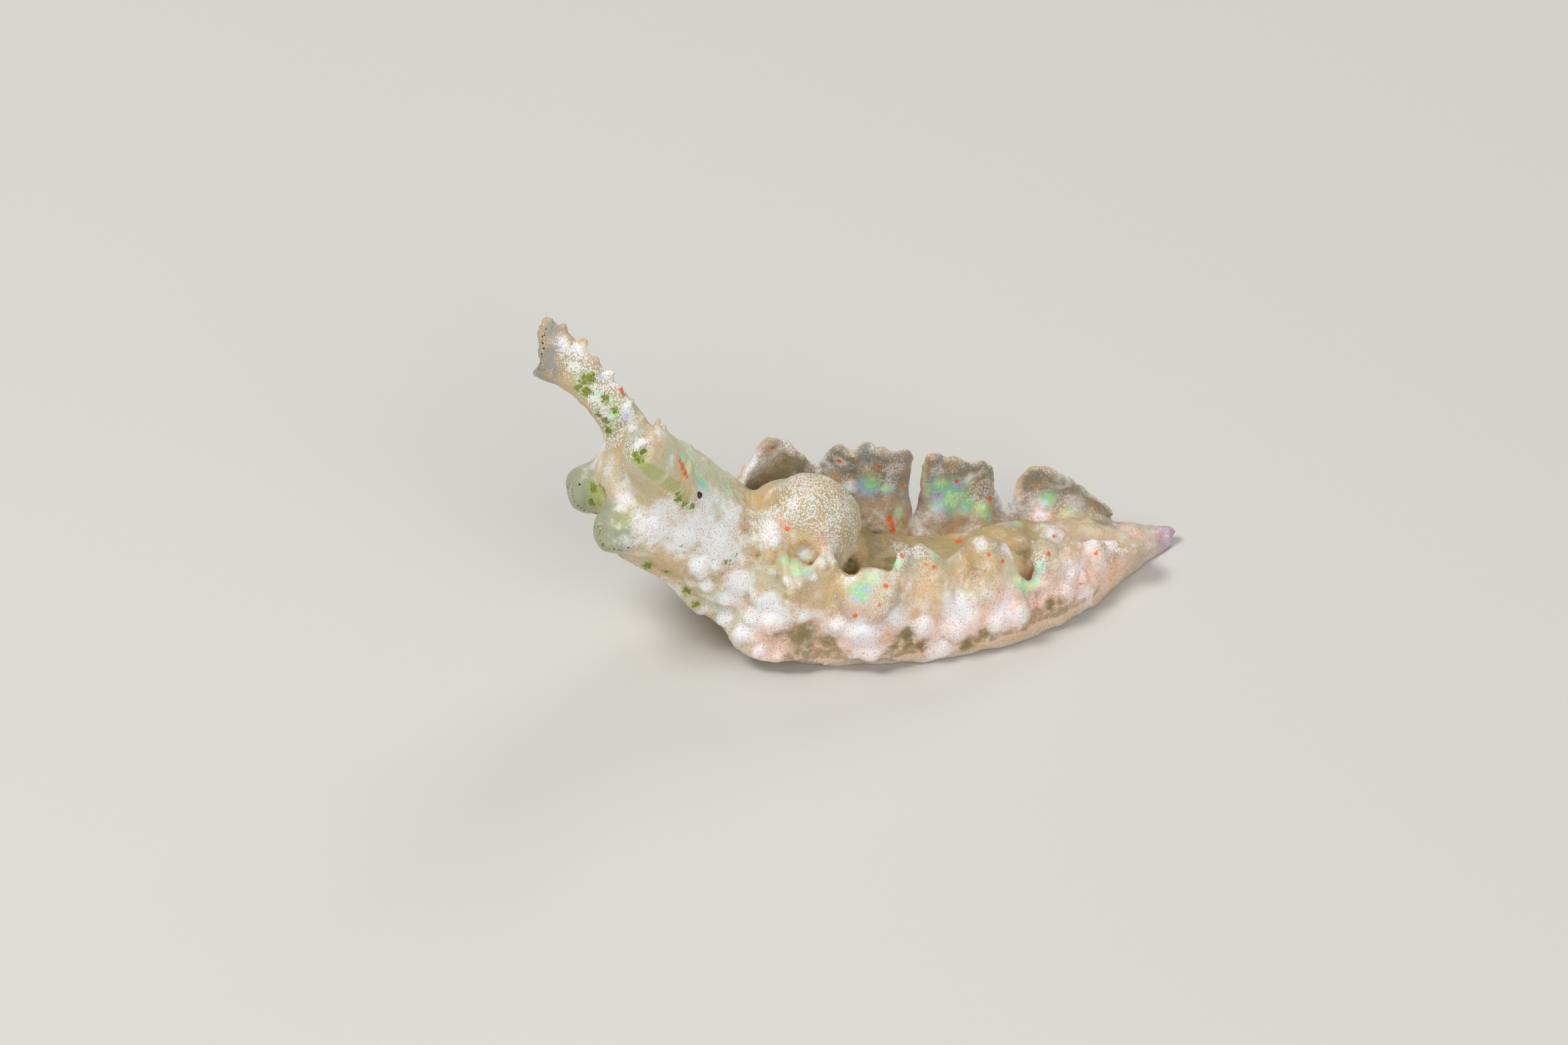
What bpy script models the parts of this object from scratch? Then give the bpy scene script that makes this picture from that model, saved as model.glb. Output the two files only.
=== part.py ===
"""A sap-sucking sea slug, Elysia ellenae, at life size: a still museum model.

The slug faces -X, its left side faces -Y, and its sole rests on Z = 0. Sizes are in millimetres
and turn into metres as each mesh is made. A place on the body is given by how far back it lies
from the snout along the sole, how far out from the middle line, and how far up from the sole.
"""

import functools
import math
import random

import bmesh
import bpy
import numpy as np

MM = 0.001
JOIN_GAP = 0.08

LEFT = 1
RIGHT = -1
SIDE_NAMES = {LEFT: "left", RIGHT: "right"}

# Middle line of the sole: distance back from the snout, then x, y and height above the floor
SOLE_LINE = [
    (-0.30, -4.74, 2.12, 2.52),
    (0.00, -4.46, 2.14, 2.42),
    (0.60, -3.90, 2.18, 2.14),
    (1.40, -3.20, 2.19, 1.52),
    (2.20, -2.53, 2.13, 0.84),
    (3.00, -1.91, 2.06, 0.30),
    (3.80, -1.20, 1.92, 0.00),
    (4.60, -0.43, 1.68, 0.00),
    (5.90, 0.82, 1.33, 0.00),
    (7.25, 2.17, 1.22, 0.00),
    (8.65, 3.56, 1.36, 0.00),
    (9.95, 4.82, 1.62, 0.00),
    (10.95, 5.80, 1.77, 0.00),
    (11.65, 6.50, 1.80, 0.00),
]
# How far each cross-section leans back, in degrees
SECTION_LEAN = [(-0.3, 6.0), (1.4, 14.0), (3.0, 12.0), (4.6, 0.0), (11.65, 0.0)]

# Core of the body: half its width and its height over the sole
CORE_HALF_WIDTH = [
    (-0.3, 0.98), (0.8, 1.10), (1.6, 1.20), (2.4, 1.18), (3.2, 1.02), (4.0, 0.82),
    (6.0, 0.78), (8.6, 0.70), (9.8, 0.52), (10.8, 0.34), (11.65, 0.16),
]
CORE_HEIGHT = [
    (-0.3, 1.80), (0.3, 2.15), (0.8, 2.36), (1.6, 2.44), (2.4, 2.42), (3.2, 2.25), (4.0, 1.95),
    (5.0, 1.75), (6.5, 1.45), (8.6, 1.20), (9.8, 0.98), (10.8, 0.78), (11.65, 0.50),
]
# How boxy a section is: 2 is an ellipse, more is squarer
ROUND_POWER = 2.2
SOLE_POWER = 4.0
SNOUT_ROUND = 0.60
TAIL_ROUND = 0.45
BODY_END = 11.65

FOOT_HALF_WIDTH = [
    (-0.3, 0.46), (0.3, 0.58), (0.8, 0.80), (1.4, 0.93), (2.2, 1.04), (3.0, 1.22), (3.8, 1.42),
    (5.0, 1.52), (7.0, 1.50), (8.7, 1.28), (9.9, 0.92), (10.9, 0.50), (11.5, 0.20),
]
FOOT_THICK = [(-0.3, 0.24), (2.0, 0.28), (4.0, 0.45), (11.65, 0.45)]
FOOT_EDGE = 0.12
FOOT_FRONT = 0.30
FOOT_END = 11.50
FOOT_SPLIT = 3.35
# Waves along the foot's thin edge: wavelength and depth of each
FOOT_WAVES = [(1.55, 0.035), (0.62, 0.022)]

# Where the core is parted
HEAD_END = 2.55
NECK_END = 3.75
TRUNK_SPLIT = 6.60
TAIL_START = 9.60

# The two side flaps: how high and how far out their free edges stand
FLAP_START = 2.90
FLAP_END = 10.30
FLAP_ROOT_THICK = 0.52
FLAP_EDGE_THICK = 0.30
FLAP_TALL = {
    LEFT: [
        (2.9, 2.72), (3.4, 2.84), (4.0, 2.62), (4.6, 2.20), (6.0, 2.12),
        (7.4, 2.08), (8.8, 1.32), (9.6, 1.02), (10.3, 0.75),
    ],
    RIGHT: [
        (2.9, 2.20), (3.5, 3.05), (4.2, 2.75), (5.4, 2.80), (6.4, 2.74),
        (7.0, 2.50), (8.2, 1.85), (9.3, 1.85), (10.3, 0.90),
    ],
}
FLAP_OUT = {
    LEFT: [(2.9, 0.98), (4.2, 1.10), (5.0, 0.95), (6.5, 0.80), (8.0, 0.72), (9.5, 0.52), (10.3, 0.40)],
    RIGHT: [(2.9, 1.05), (4.2, 1.30), (5.2, 1.35), (6.5, 1.25), (8.0, 1.10), (9.5, 0.75), (10.3, 0.42)],
}
FLAP_BULGE = 0.42
FLAP_END_THIN = 0.55
# Where a flap is low it is thinner and bulges less: shares of its height
FLAP_THICK_SHARE = 0.46
FLAP_BULGE_SHARE = 0.34
FLAP_LEAST_HEIGHT = 0.34
# How far a free edge may lean in over the back, as a share of the flap's height
FLAP_LEAN_IN = 0.10
# The fine ruffle of the free edges: wavelength and sway out, then wavelength and rise
RUFFLE_OUT = (0.71, 0.05)
RUFFLE_UP = (0.53, 0.05)
# Notches where a free edge dips and rolls outwards: distance back, half its span, drop, roll out
NOTCHES = {
    LEFT: [(4.25, 0.26, 0.30, 0.45), (5.38, 0.30, 0.62, 0.60), (8.10, 0.32, 0.62, 0.50)],
    RIGHT: [(4.60, 0.26, 0.40, 0.15), (6.60, 0.24, 1.30, 0.25), (8.75, 0.28, 0.75, 0.35)],
}
FLAP_SPLITS = {LEFT: [5.38, 8.10], RIGHT: [6.60, 8.75]}
LOBE_NAMES = ["front", "mid", "rear"]

HUMP_BACK = 4.55
HUMP_HALF = (0.76, 0.62, 1.10)
HUMP_UP = 2.28

LOBE_HALF = (0.34, 0.42, 0.50)
LOBE_OUT = 0.74
LOBE_BACK = 0.00
LOBE_UP = 0.68

RHINO_ROOT = (0.72, 0.60, 1.70)
RHINO_LENGTH = 2.40
# Which way each feeler points: ahead, aside and up
RHINO_WAY = {LEFT: (0.88, 1.25, 1.60), RIGHT: (1.15, 1.00, 1.55)}
# Along a feeler, from 0 at its root to 1: half its breadth and half its depth
RHINO_BREADTH = [(0.0, 0.52), (0.25, 0.44), (0.45, 0.42), (0.65, 0.46), (0.85, 0.56), (1.0, 0.66)]
RHINO_DEPTH = [(0.0, 0.42), (0.25, 0.34), (0.5, 0.25), (0.8, 0.17), (1.0, 0.13)]
RHINO_BOW = 0.20
# How far its two edges curl outwards, which leaves a channel along its outer side
RHINO_CURL = [(0.0, 0.0), (0.25, 0.05), (0.55, 0.26), (1.0, 0.34)]
RHINO_SIDES = 18
RHINO_RINGS = 13
FORK_DEEP = 0.35
FORK_SLANT = 0.28

EYE_RADIUS = 0.06
EYE_BACK = 1.32
EYE_TURN = 42.0
EYE_SOCKET = 0.02

# The mouth, an upright slit between the two lobes: place back and up, then half sizes
MOUTH_PLACE = (0.02, 1.02)
MOUTH_HALF = (0.16, 0.045, 0.26)

# Warts and papillae: sides of each, and how much of its height is sunk in the skin
BUMP_SIDES = 6
BUMP_SUNK = 0.09
BUMP_WAIST = 0.62
SEED = 7

# Warts in rows along the flaps' outer faces: share of the flap's height, spacing, radius, height
FLANK_ROWS = [(0.13, 0.46, 0.155, 0.12), (0.40, 0.74, 0.105, 0.08), (0.68, 0.82, 0.080, 0.06)]
# Papillae along the flaps' free edges: spacing, radius, height
EDGE_ROW = (0.36, 0.075, 0.15)
# Warts round the head and neck: angle above level, then spacing, radius, height
HEAD_ROWS = [(-28, 0.50, 0.120, 0.09), (4, 0.72, 0.085, 0.06), (52, 0.78, 0.070, 0.06)]
# Low warts along the top of the foot's edge: share of its half width, spacing, radius, height
FOOT_ROW = (0.80, 0.47, 0.085, 0.05)
# Papillae up the hind edge of a feeler and at its two tips: place along it, radius, height
RHINO_ROW = [(0.30, 0.070, 0.10), (0.52, 0.075, 0.12), (0.72, 0.085, 0.15), (0.88, 0.060, 0.10)]
# Papilla between the feelers: distance back, angle, radius, height
CREST_BUMP = (1.02, 88.0, 0.085, 0.16)


def profile(keys, at):
    """The smooth value at a distance, through (distance, value) pairs, without overshoot."""
    x, y = np.array(keys, float).T
    step = np.diff(y) / np.diff(x)
    slope = np.zeros_like(y)
    slope[0] = step[0]
    slope[-1] = step[-1]
    for k in range(1, len(y) - 1):
        if step[k - 1] * step[k] > 0:
            slope[k] = 2 * step[k - 1] * step[k] / (step[k - 1] + step[k])
    at = min(max(at, x[0]), x[-1])
    k = min(int(np.searchsorted(x, at, "right")) - 1, len(x) - 2)
    width = x[k + 1] - x[k]
    t = (at - x[k]) / width
    near = y[k] * (1 + 2 * t) * (1 - t) ** 2 + slope[k] * width * t * (1 - t) ** 2
    return near + y[k + 1] * t * t * (3 - 2 * t) + slope[k + 1] * width * t * t * (t - 1)


def unit(vector):
    """The same direction at a length of one."""
    return vector / np.linalg.norm(vector)


@functools.cache
def sole_point(back):
    """The point on the sole's middle line at this distance from the snout."""
    return np.array([profile([(row[0], row[axis]) for row in SOLE_LINE], back) for axis in (1, 2, 3)])


@functools.cache
def section(back):
    """The sole's middle point and the unit directions left and up at this distance."""
    tail_way = sole_point(back + 0.08) - sole_point(back - 0.08)
    level = unit(np.array([tail_way[0], tail_way[1], 0.0]))
    left = np.array([level[1], -level[0], 0.0])
    lean = math.radians(profile(SECTION_LEAN, back))
    up = level * math.sin(lean) + np.array([0.0, 0.0, math.cos(lean)])
    return sole_point(back), left, up


def place(back, out, up):
    """The point at a distance back, out to the left and up from the sole."""
    origin, left_way, up_way = section(back)
    return origin + out * left_way + up * up_way


def steps(start, end, count):
    """Evenly spaced values from start to end."""
    return [start + (end - start) * k / (count - 1) for k in range(count)]


def make_object(name, points, faces, material):
    """A node from points in millimetres and its faces."""
    mesh = bpy.data.meshes.new(name)
    mesh.from_pydata([tuple(float(c) * MM for c in p) for p in points], [], faces)
    obj = bpy.data.objects.new(name, mesh)
    bpy.context.scene.collection.objects.link(obj)
    if material:
        obj.data.materials.append(material)
    face_outwards(mesh)
    return obj


def face_outwards(mesh):
    """Turns a closed mesh right side out."""
    shape = bmesh.new()
    shape.from_mesh(mesh)
    if shape.calc_volume(signed=True) < 0:
        bmesh.ops.reverse_faces(shape, faces=shape.faces)
    shape.to_mesh(mesh)
    shape.free()


def loft(name, rings, material):
    """A closed body through rings of equal length, each end closed by a fan."""
    sides = len(rings[0])
    points = [p for ring in rings for p in ring]
    faces = []
    for k in range(len(rings) - 1):
        for j in range(sides):
            a = k * sides + j
            b = k * sides + (j + 1) % sides
            faces.append((a, b, b + sides))
            faces.append((a, b + sides, a + sides))
    for k, turn in ((0, -1), (len(rings) - 1, 1)):
        hub = len(points)
        points.append(sum(rings[k]) / sides)
        for j in range(sides):
            a = k * sides + j
            b = k * sides + (j + 1) % sides
            faces.append((a, b, hub)[::turn])
    return make_object(name, points, faces, material)


def plate(name, outer, inner, material):
    """A closed thin wall between two grids of points, split into triangles alike on both faces."""
    rows = len(outer)
    columns = len(outer[0])
    points = [p for row in outer for p in row] + [p for row in inner for p in row]
    offset = rows * columns
    faces = []
    for i in range(rows - 1):
        for j in range(columns - 1):
            a = i * columns + j
            b = a + 1
            c = a + columns + 1
            d = a + columns
            faces += [(a, b, c), (a, c, d)]
            faces += [(offset + c, offset + b, offset + a), (offset + d, offset + c, offset + a)]
    rim = [j for j in range(columns)]
    rim += [i * columns + columns - 1 for i in range(1, rows)]
    rim += [(rows - 1) * columns + j for j in range(columns - 2, -1, -1)]
    rim += [i * columns for i in range(rows - 2, 0, -1)]
    for k, a in enumerate(rim):
        b = rim[(k + 1) % len(rim)]
        faces += [(b, a, offset + a), (b, offset + a, offset + b)]
    return make_object(name, points, faces, material)


def finish(name, colour, roughness):
    """A plain material of this colour for one node."""
    material = bpy.data.materials.new(name)
    material.use_nodes = True
    shader = material.node_tree.nodes["Principled BSDF"]
    shader.inputs["Base Color"].default_value = (*colour, 1.0)
    shader.inputs["Roughness"].default_value = roughness
    return material


def super_ring(half_wide, low, high, sides, square):
    """Points (out, up) round a rounded box of this half width between two heights."""
    ring = []
    middle = (low + high) / 2
    half_tall = (high - low) / 2
    for k in range(sides):
        turn = 2 * math.pi * (k + 0.5) / sides
        c = math.cos(turn)
        s = math.sin(turn)
        power = 2 / (square if s < 0 else ROUND_POWER)
        out = half_wide * math.copysign(abs(c) ** power, c)
        ring.append((out, middle + half_tall * math.copysign(abs(s) ** power, s)))
    return ring


def end_round(back):
    """From 0 to 1: how far the core has swelled from its rounded ends."""
    ahead = min(max(back / SNOUT_ROUND, 0.0), 1.0)
    behind = min(max((BODY_END - back) / TAIL_ROUND, 0.0), 1.0)
    return math.sqrt(1 - (1 - ahead) ** 2) * math.sqrt(1 - (1 - behind) ** 2)


def core_ring(back, sides=18, grow=0.0):
    """Section of the head, neck, trunk or tail, in world points."""
    swell = max(end_round(back), 0.12)
    half_wide = profile(CORE_HALF_WIDTH, back) * swell + grow
    tall = profile(CORE_HEIGHT, back)
    low = profile(FOOT_THICK, back) + JOIN_GAP - grow
    middle = (low + tall) / 2
    half_tall = (tall + grow - low) / 2 * swell
    ring = super_ring(half_wide, middle - half_tall, middle + half_tall, sides, SOLE_POWER)
    ahead = grow * max(0.0, 1 - back / SNOUT_ROUND)
    return [place(back - ahead, out, up) for out, up in ring]


def core_point(back, turn):
    """Where the core's surface lies (out, up) at an angle in degrees, 0 level with its middle and 90 on top."""
    half_wide = profile(CORE_HALF_WIDTH, back)
    tall = profile(CORE_HEIGHT, back)
    low = profile(FOOT_THICK, back) + JOIN_GAP
    c = math.cos(math.radians(turn))
    s = math.sin(math.radians(turn))
    power = 2 / ROUND_POWER
    out = half_wide * math.copysign(abs(c) ** power, c)
    return out, (low + tall) / 2 + (tall - low) / 2 * math.copysign(abs(s) ** power, s)


def core_length(name, start, end, count, material, grow=0.0):
    """A length of the core, closed at both ends."""
    return loft(name, [core_ring(back, grow=grow) for back in steps(start, end, count)], material)


def head_length(name, end, material, grow=0.0):
    """The head, from its rounded snout to where the neck starts."""
    rings = [core_ring(back, grow=grow) for back in snout_steps(end, 12)]
    return loft(name, rings, material)


def snout_steps(end, count):
    """Distances from the snout to the end of the head, closer together at the rounded snout."""
    return [end * (1 - math.cos(math.pi / 2 * k / (count - 1))) for k in range(count)]


def foot_half(side, back):
    """How far the foot's wavy edge lies from its middle line."""
    half = profile(FOOT_HALF_WIDTH, back)
    calm = min(1.0, half / 1.2)
    for length, depth in FOOT_WAVES:
        half += depth * calm * math.sin(2 * math.pi * back / length + side)
    return half


def foot_ring(back, grow=0.0):
    """Section of the foot: flat below, thin at its edges."""
    thick = min(profile(FOOT_THICK, back), profile(FOOT_HALF_WIDTH, back))
    upper = [(0.96, 0.0), (1.0, FOOT_EDGE / 2), (0.97, FOOT_EDGE), (0.80, thick * 0.62), (0.62, thick)]
    outline = [(0.0, -grow)]
    outline += foot_side(LEFT, back, upper, grow)
    outline += [(0.0, thick + grow)]
    outline += foot_side(RIGHT, back, upper, grow)[::-1]
    return [place(back, out, up) for out, up in outline]


def foot_side(side, back, upper, grow):
    """One side of the foot's section, from the sole to the top."""
    half = foot_half(side, back)
    return [(side * (half * share + grow), up + (grow if up else -grow)) for share, up in upper]


def foot_length(name, start, end, count, material, grow=0.0):
    """A length of the foot."""
    return loft(name, [foot_ring(back, grow) for back in steps(start, end, count)], material)


def notch_pull(side, back):
    """How far the free edge drops and how far it rolls out at this distance."""
    drop = 0.0
    roll = 0.0
    for middle, span, depth, out in NOTCHES[side]:
        weight = math.exp(-(abs(back - middle) / span) ** 2.6)
        drop += depth * weight
        roll += out * weight
    return drop, roll


def flap_curve(side, back):
    """Root, bulge and free edge of a flap's middle surface, as (out, up)."""
    drop, roll = notch_pull(side, back)
    core = profile(CORE_HALF_WIDTH, back)
    low = profile(FOOT_THICK, back) + JOIN_GAP + 0.02
    tall = profile(FLAP_TALL[side], back) - drop
    tall += RUFFLE_UP[1] * math.sin(2 * math.pi * back / RUFFLE_UP[0] + side)
    out = profile(FLAP_OUT[side], back) + roll
    out += RUFFLE_OUT[1] * math.sin(2 * math.pi * back / RUFFLE_OUT[0] - side)
    height = max(tall - low, FLAP_LEAST_HEIGHT)
    thick = flap_root_thick(height)
    root = np.array([core + JOIN_GAP + thick / 2, low])
    edge = np.array([max(out, core + JOIN_GAP - height * FLAP_LEAN_IN), low + height])
    bulge = np.array([root[0] + min(FLAP_BULGE, height * FLAP_BULGE_SHARE), low + height * 0.62])
    return root, bulge, edge


def flap_root_thick(height):
    """The flap's thickness at its root, less where the flap is low."""
    return min(FLAP_ROOT_THICK, height * FLAP_THICK_SHARE)


def flap_thinning(back):
    """How much thinner a flap is near its two ends."""
    near_end = min(back - FLAP_START, FLAP_END - back, 1.0)
    return FLAP_END_THIN + (1 - FLAP_END_THIN) * math.sin(math.pi / 2 * max(near_end, 0.0))


def flap_walls(side, back, rows):
    """The outer and the inner line of a flap's section, from root to free edge."""
    root, bulge, edge = flap_curve(side, back)
    thick = flap_root_thick(edge[1] - root[1])
    thinning = flap_thinning(back)
    outer = []
    inner = []
    for k in range(rows):
        v = k / (rows - 1)
        middle = root * (1 - v) ** 2 + bulge * 2 * v * (1 - v) + edge * v * v
        along = unit((bulge - root) * 2 * (1 - v) + (edge - bulge) * 2 * v)
        if v == 0:
            along = np.array([0.0, 1.0])
        across = np.array([along[1], -along[0]])
        half = (thick * (1 - v) + min(FLAP_EDGE_THICK, thick) * v) / 2 * thinning
        outer.append(middle + across * half)
        inner.append(middle - across * half)
    return outer, inner


def flap_lobe(name, side, start, end, count, material):
    """One lobe of a flap, from one notch to the next."""
    outer = []
    inner = []
    for back in steps(start, end, count):
        walls = flap_walls(side, back, 7)
        outer.append([place(back, side * p[0], p[1]) for p in walls[0]])
        inner.append([place(back, side * p[0], p[1]) for p in walls[1]])
    return plate(name, outer, inner, material)


def ellipsoid(name, back, out, up, half, material, grow=0.0, detail=2):
    """A rounded lump: its half sizes run along the body, across it and up."""
    origin, left, rise = section(back)
    middle = origin + out * left + up * rise
    ahead = np.cross(left, rise)
    shape = bmesh.new()
    bmesh.ops.create_icosphere(shape, subdivisions=detail, radius=1.0)
    points = []
    for vert in shape.verts:
        size = [half[axis] + grow for axis in range(3)]
        points.append(middle + ahead * vert.co.x * size[0] + left * vert.co.y * size[1] + rise * vert.co.z * size[2])
    faces = [tuple(v.index for v in face.verts) for face in shape.faces]
    shape.free()
    return make_object(name, points, faces, material)


def cut(target, cutter):
    """Takes the cutter out of the target and removes it."""
    tool = target.modifiers.new("cut", "BOOLEAN")
    tool.operation = "DIFFERENCE"
    tool.solver = "EXACT"
    tool.object = cutter
    apply_modifiers(target)
    bpy.data.objects.remove(cutter)


def fuse(target, pieces):
    """Joins closed pieces to the target in one union and removes them."""
    group = bpy.data.collections.new("pieces")
    bpy.context.scene.collection.children.link(group)
    for piece in pieces:
        group.objects.link(piece)
    tool = target.modifiers.new("fuse", "BOOLEAN")
    tool.operation = "UNION"
    tool.solver = "EXACT"
    tool.operand_type = "COLLECTION"
    tool.collection = group
    apply_modifiers(target)
    for piece in pieces:
        bpy.data.objects.remove(piece)
    bpy.data.collections.remove(group)


def apply_modifiers(target):
    """Turns what the modifiers show into the object's own mesh, and keeps its largest closed surface."""
    bpy.context.view_layer.update()
    graph = bpy.context.evaluated_depsgraph_get()
    mesh = bpy.data.meshes.new_from_object(target.evaluated_get(graph))
    target.modifiers.clear()
    target.data = mesh
    keep_largest(mesh)


def keep_largest(mesh):
    """Drops every loose closed surface but the largest."""
    shape = bmesh.new()
    shape.from_mesh(mesh)
    shape.faces.ensure_lookup_table()
    left = set(shape.faces)
    groups = []
    while left:
        grown = [left.pop()]
        group = []
        while grown:
            face = grown.pop()
            group.append(face)
            for edge in face.edges:
                for other in edge.link_faces:
                    if other in left:
                        left.remove(other)
                        grown.append(other)
        groups.append(group)
    groups.sort(key=lambda group: sum(face.calc_area() for face in group))
    loose = [face for group in groups[:-1] for face in group]
    bmesh.ops.delete(shape, geom=loose, context="FACES")
    shape.to_mesh(mesh)
    shape.free()


def rhinophore_frame(side):
    """The root of a feeler and the unit directions along it, across it and outwards from the head."""
    _, left, _ = section(RHINO_ROOT[0])
    upright = np.array([0.0, 0.0, 1.0])
    ahead = np.cross(left, upright)
    way = RHINO_WAY[side]
    axis = unit(ahead * way[0] + left * side * way[1] + upright * way[2])
    broad = unit(upright - axis * axis[2])
    outward = np.cross(axis, broad)
    if np.dot(outward, left * side) < 0:
        outward = -outward
    root = place(RHINO_ROOT[0], side * RHINO_ROOT[1], RHINO_ROOT[2])
    return root, axis, broad, outward


def rhinophore_point(side, along, turn):
    """A point on a feeler: 0 to 1 from root to tip, and an angle round it from its upper edge."""
    root, axis, broad, outward = rhinophore_frame(side)
    spread = max(0.0, along * 2 - 1)
    across = math.cos(turn)
    middle = root + axis * along * RHINO_LENGTH + broad * RHINO_BOW * 4 * along * (1 - along)
    ahead_by = spread * (FORK_DEEP * (abs(across) - 0.45) + FORK_SLANT * across)
    curl = profile(RHINO_CURL, along) * (across * across - 0.4)
    reach = broad * across * profile(RHINO_BREADTH, along)
    reach = reach + outward * (math.sin(turn) * profile(RHINO_DEPTH, along) + curl)
    return middle + axis * ahead_by + reach


def rhinophore(side, material):
    """A rolled feeler: a stalk that bows up and flattens into a channelled, forked tip."""
    rings = []
    for along in steps(0.0, 1.0, RHINO_RINGS):
        turns = [2 * math.pi * k / RHINO_SIDES for k in range(RHINO_SIDES)]
        rings.append([rhinophore_point(side, along, turn) for turn in turns])
    return loft("rhinophore_" + SIDE_NAMES[side], rings, material)


def bump(spot, outward, radius, height):
    """A wart or papilla: a low cone with a full waist, its root sunk in the skin at the spot."""
    outward = unit(outward)
    helper = np.array([0.0, 0.0, 1.0]) if abs(outward[2]) < 0.8 else np.array([1.0, 0.0, 0.0])
    across = unit(np.cross(outward, helper))
    beside = np.cross(outward, across)
    points = []
    for level, share in ((-BUMP_SUNK, 1.0), (height * 0.5, BUMP_WAIST)):
        for k in range(BUMP_SIDES):
            turn = 2 * math.pi * k / BUMP_SIDES
            reach = across * math.cos(turn) + beside * math.sin(turn)
            points.append(spot + outward * level + reach * radius * share)
    points.append(spot + outward * height)
    faces = [tuple(range(BUMP_SIDES))[::-1]]
    for k in range(BUMP_SIDES):
        after = (k + 1) % BUMP_SIDES
        faces.append((k, after, BUMP_SIDES + after, BUMP_SIDES + k))
        faces.append((BUMP_SIDES + k, BUMP_SIDES + after, 2 * BUMP_SIDES))
    return make_object("bump", points, faces, None)


def row_of_spots(draw, start, end, spacing):
    """Uneven distances from start to end, about one spacing apart, clear of both ends."""
    count = max(1, int(round((end - start) / spacing)))
    width = (end - start) / count
    return [start + width * (k + 0.5 + draw.uniform(-0.16, 0.16)) for k in range(count)]


def surface_bump(draw, surface, u, v, side, radius, height):
    """A wart set square on one side's surface, given as a function of two places."""
    spot = surface(u, v)
    along = surface(u + 0.04, v) - surface(u - 0.04, v)
    up = surface(u, v + 0.04) - surface(u, v - 0.04)
    size = draw.uniform(0.75, 1.2)
    return bump(spot, np.cross(along, up) * side, radius * size, height * size)


def flap_outer_point(side, back, v):
    """A point on a flap's outer face: v runs from 0 at its root to 1 at its free edge."""
    walls = flap_walls(side, back, 9)[0]
    place_in = min(max(v, 0.0), 1.0) * 8
    k = min(int(place_in), 7)
    spot = walls[k] + (walls[k + 1] - walls[k]) * (place_in - k)
    return place(back, side * spot[0], spot[1])


def flap_bumps(side, start, end, draw):
    """The warts on the outer face of one lobe and the papillae on its free edge."""
    pieces = []

    def face(back, v):
        return flap_outer_point(side, back, v)

    for share, spacing, radius, height in FLANK_ROWS:
        for back in row_of_spots(draw, start + radius, end - radius, spacing):
            v = share + draw.uniform(-0.05, 0.07)
            pieces.append(surface_bump(draw, face, back, v, side, radius, height))
    spacing, radius, height = EDGE_ROW
    for back in row_of_spots(draw, start + radius, end - radius, spacing):
        outer, inner = flap_walls(side, back, 9)
        middle = (outer[-1] + inner[-1]) / 2
        rise = middle - (outer[-2] + inner[-2]) / 2
        foot = place(back, side * middle[0], middle[1])
        tip = place(back, side * (middle[0] + rise[0]), middle[1] + rise[1])
        size = draw.uniform(0.6, 1.3)
        pieces.append(bump(foot, tip - foot, radius * (0.8 + 0.2 * size), height * size))
    return pieces


def clear_scene():
    """Removes whatever the scene holds."""
    for obj in list(bpy.data.objects):
        bpy.data.objects.remove(obj)


def centre_on_floor():
    """Moves the model so that its box stands on the origin."""
    points = [obj.matrix_world @ v.co for obj in bpy.data.objects for v in obj.data.vertices]
    low = np.min(points, axis=0)
    high = np.max(points, axis=0)
    for obj in bpy.data.objects:
        for v in obj.data.vertices:
            v.co.x -= (low[0] + high[0]) / 2
            v.co.y -= (low[1] + high[1]) / 2


def build_core(skin):
    """Head, neck, trunk and tail, parted by thin gaps."""
    half_gap = JOIN_GAP / 2
    head = head_length("head", HEAD_END - half_gap, skin)
    spot = (MOUTH_PLACE[0], 0.0, MOUTH_PLACE[1], MOUTH_HALF)
    cut(head, ellipsoid("space", *spot, skin))
    fuse(head, core_bumps(1.15, HEAD_END - half_gap) + [crest_bump()])
    neck = core_length("neck", HEAD_END + half_gap, NECK_END - half_gap, 7, skin)
    fuse(neck, core_bumps(HEAD_END + half_gap, FLAP_START))
    core_length("trunk_front", NECK_END + half_gap, TRUNK_SPLIT - half_gap, 9, skin)
    core_length("trunk_rear", TRUNK_SPLIT + half_gap, TAIL_START - half_gap, 9, skin)
    core_length("tail", TAIL_START + half_gap, BODY_END, 9, skin)


def core_bumps(start, end):
    """Warts on both sides of a length of the head or neck."""
    draw = random.Random(SEED)
    pieces = []
    for side in SIDE_NAMES:

        def face(back, turn):
            out, up = core_point(back, turn * 100)
            return place(back, side * out, up)

        for turn, spacing, radius, height in HEAD_ROWS:
            for back in row_of_spots(draw, start + radius, end - radius, spacing):
                v = (turn + draw.uniform(-7, 7)) / 100
                pieces.append(surface_bump(draw, face, back, v, side, radius, height))
    return pieces


def crest_bump():
    """The papilla on top of the head, behind the feelers."""
    back, turn, radius, height = CREST_BUMP
    out, up = core_point(back, turn)
    foot = place(back, out, up)
    return bump(foot, place(back, out, up + 1) - foot, radius, height)


def build_foot(material):
    """The foot, with the part under the raised head in a node of its own."""
    half_gap = JOIN_GAP / 2
    foot_length("foot_front", FOOT_FRONT, FOOT_SPLIT - half_gap, 14, material)
    rear = foot_length("foot_rear", FOOT_SPLIT + half_gap, FOOT_END, 38, material)
    fuse(rear, foot_bumps())


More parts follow.
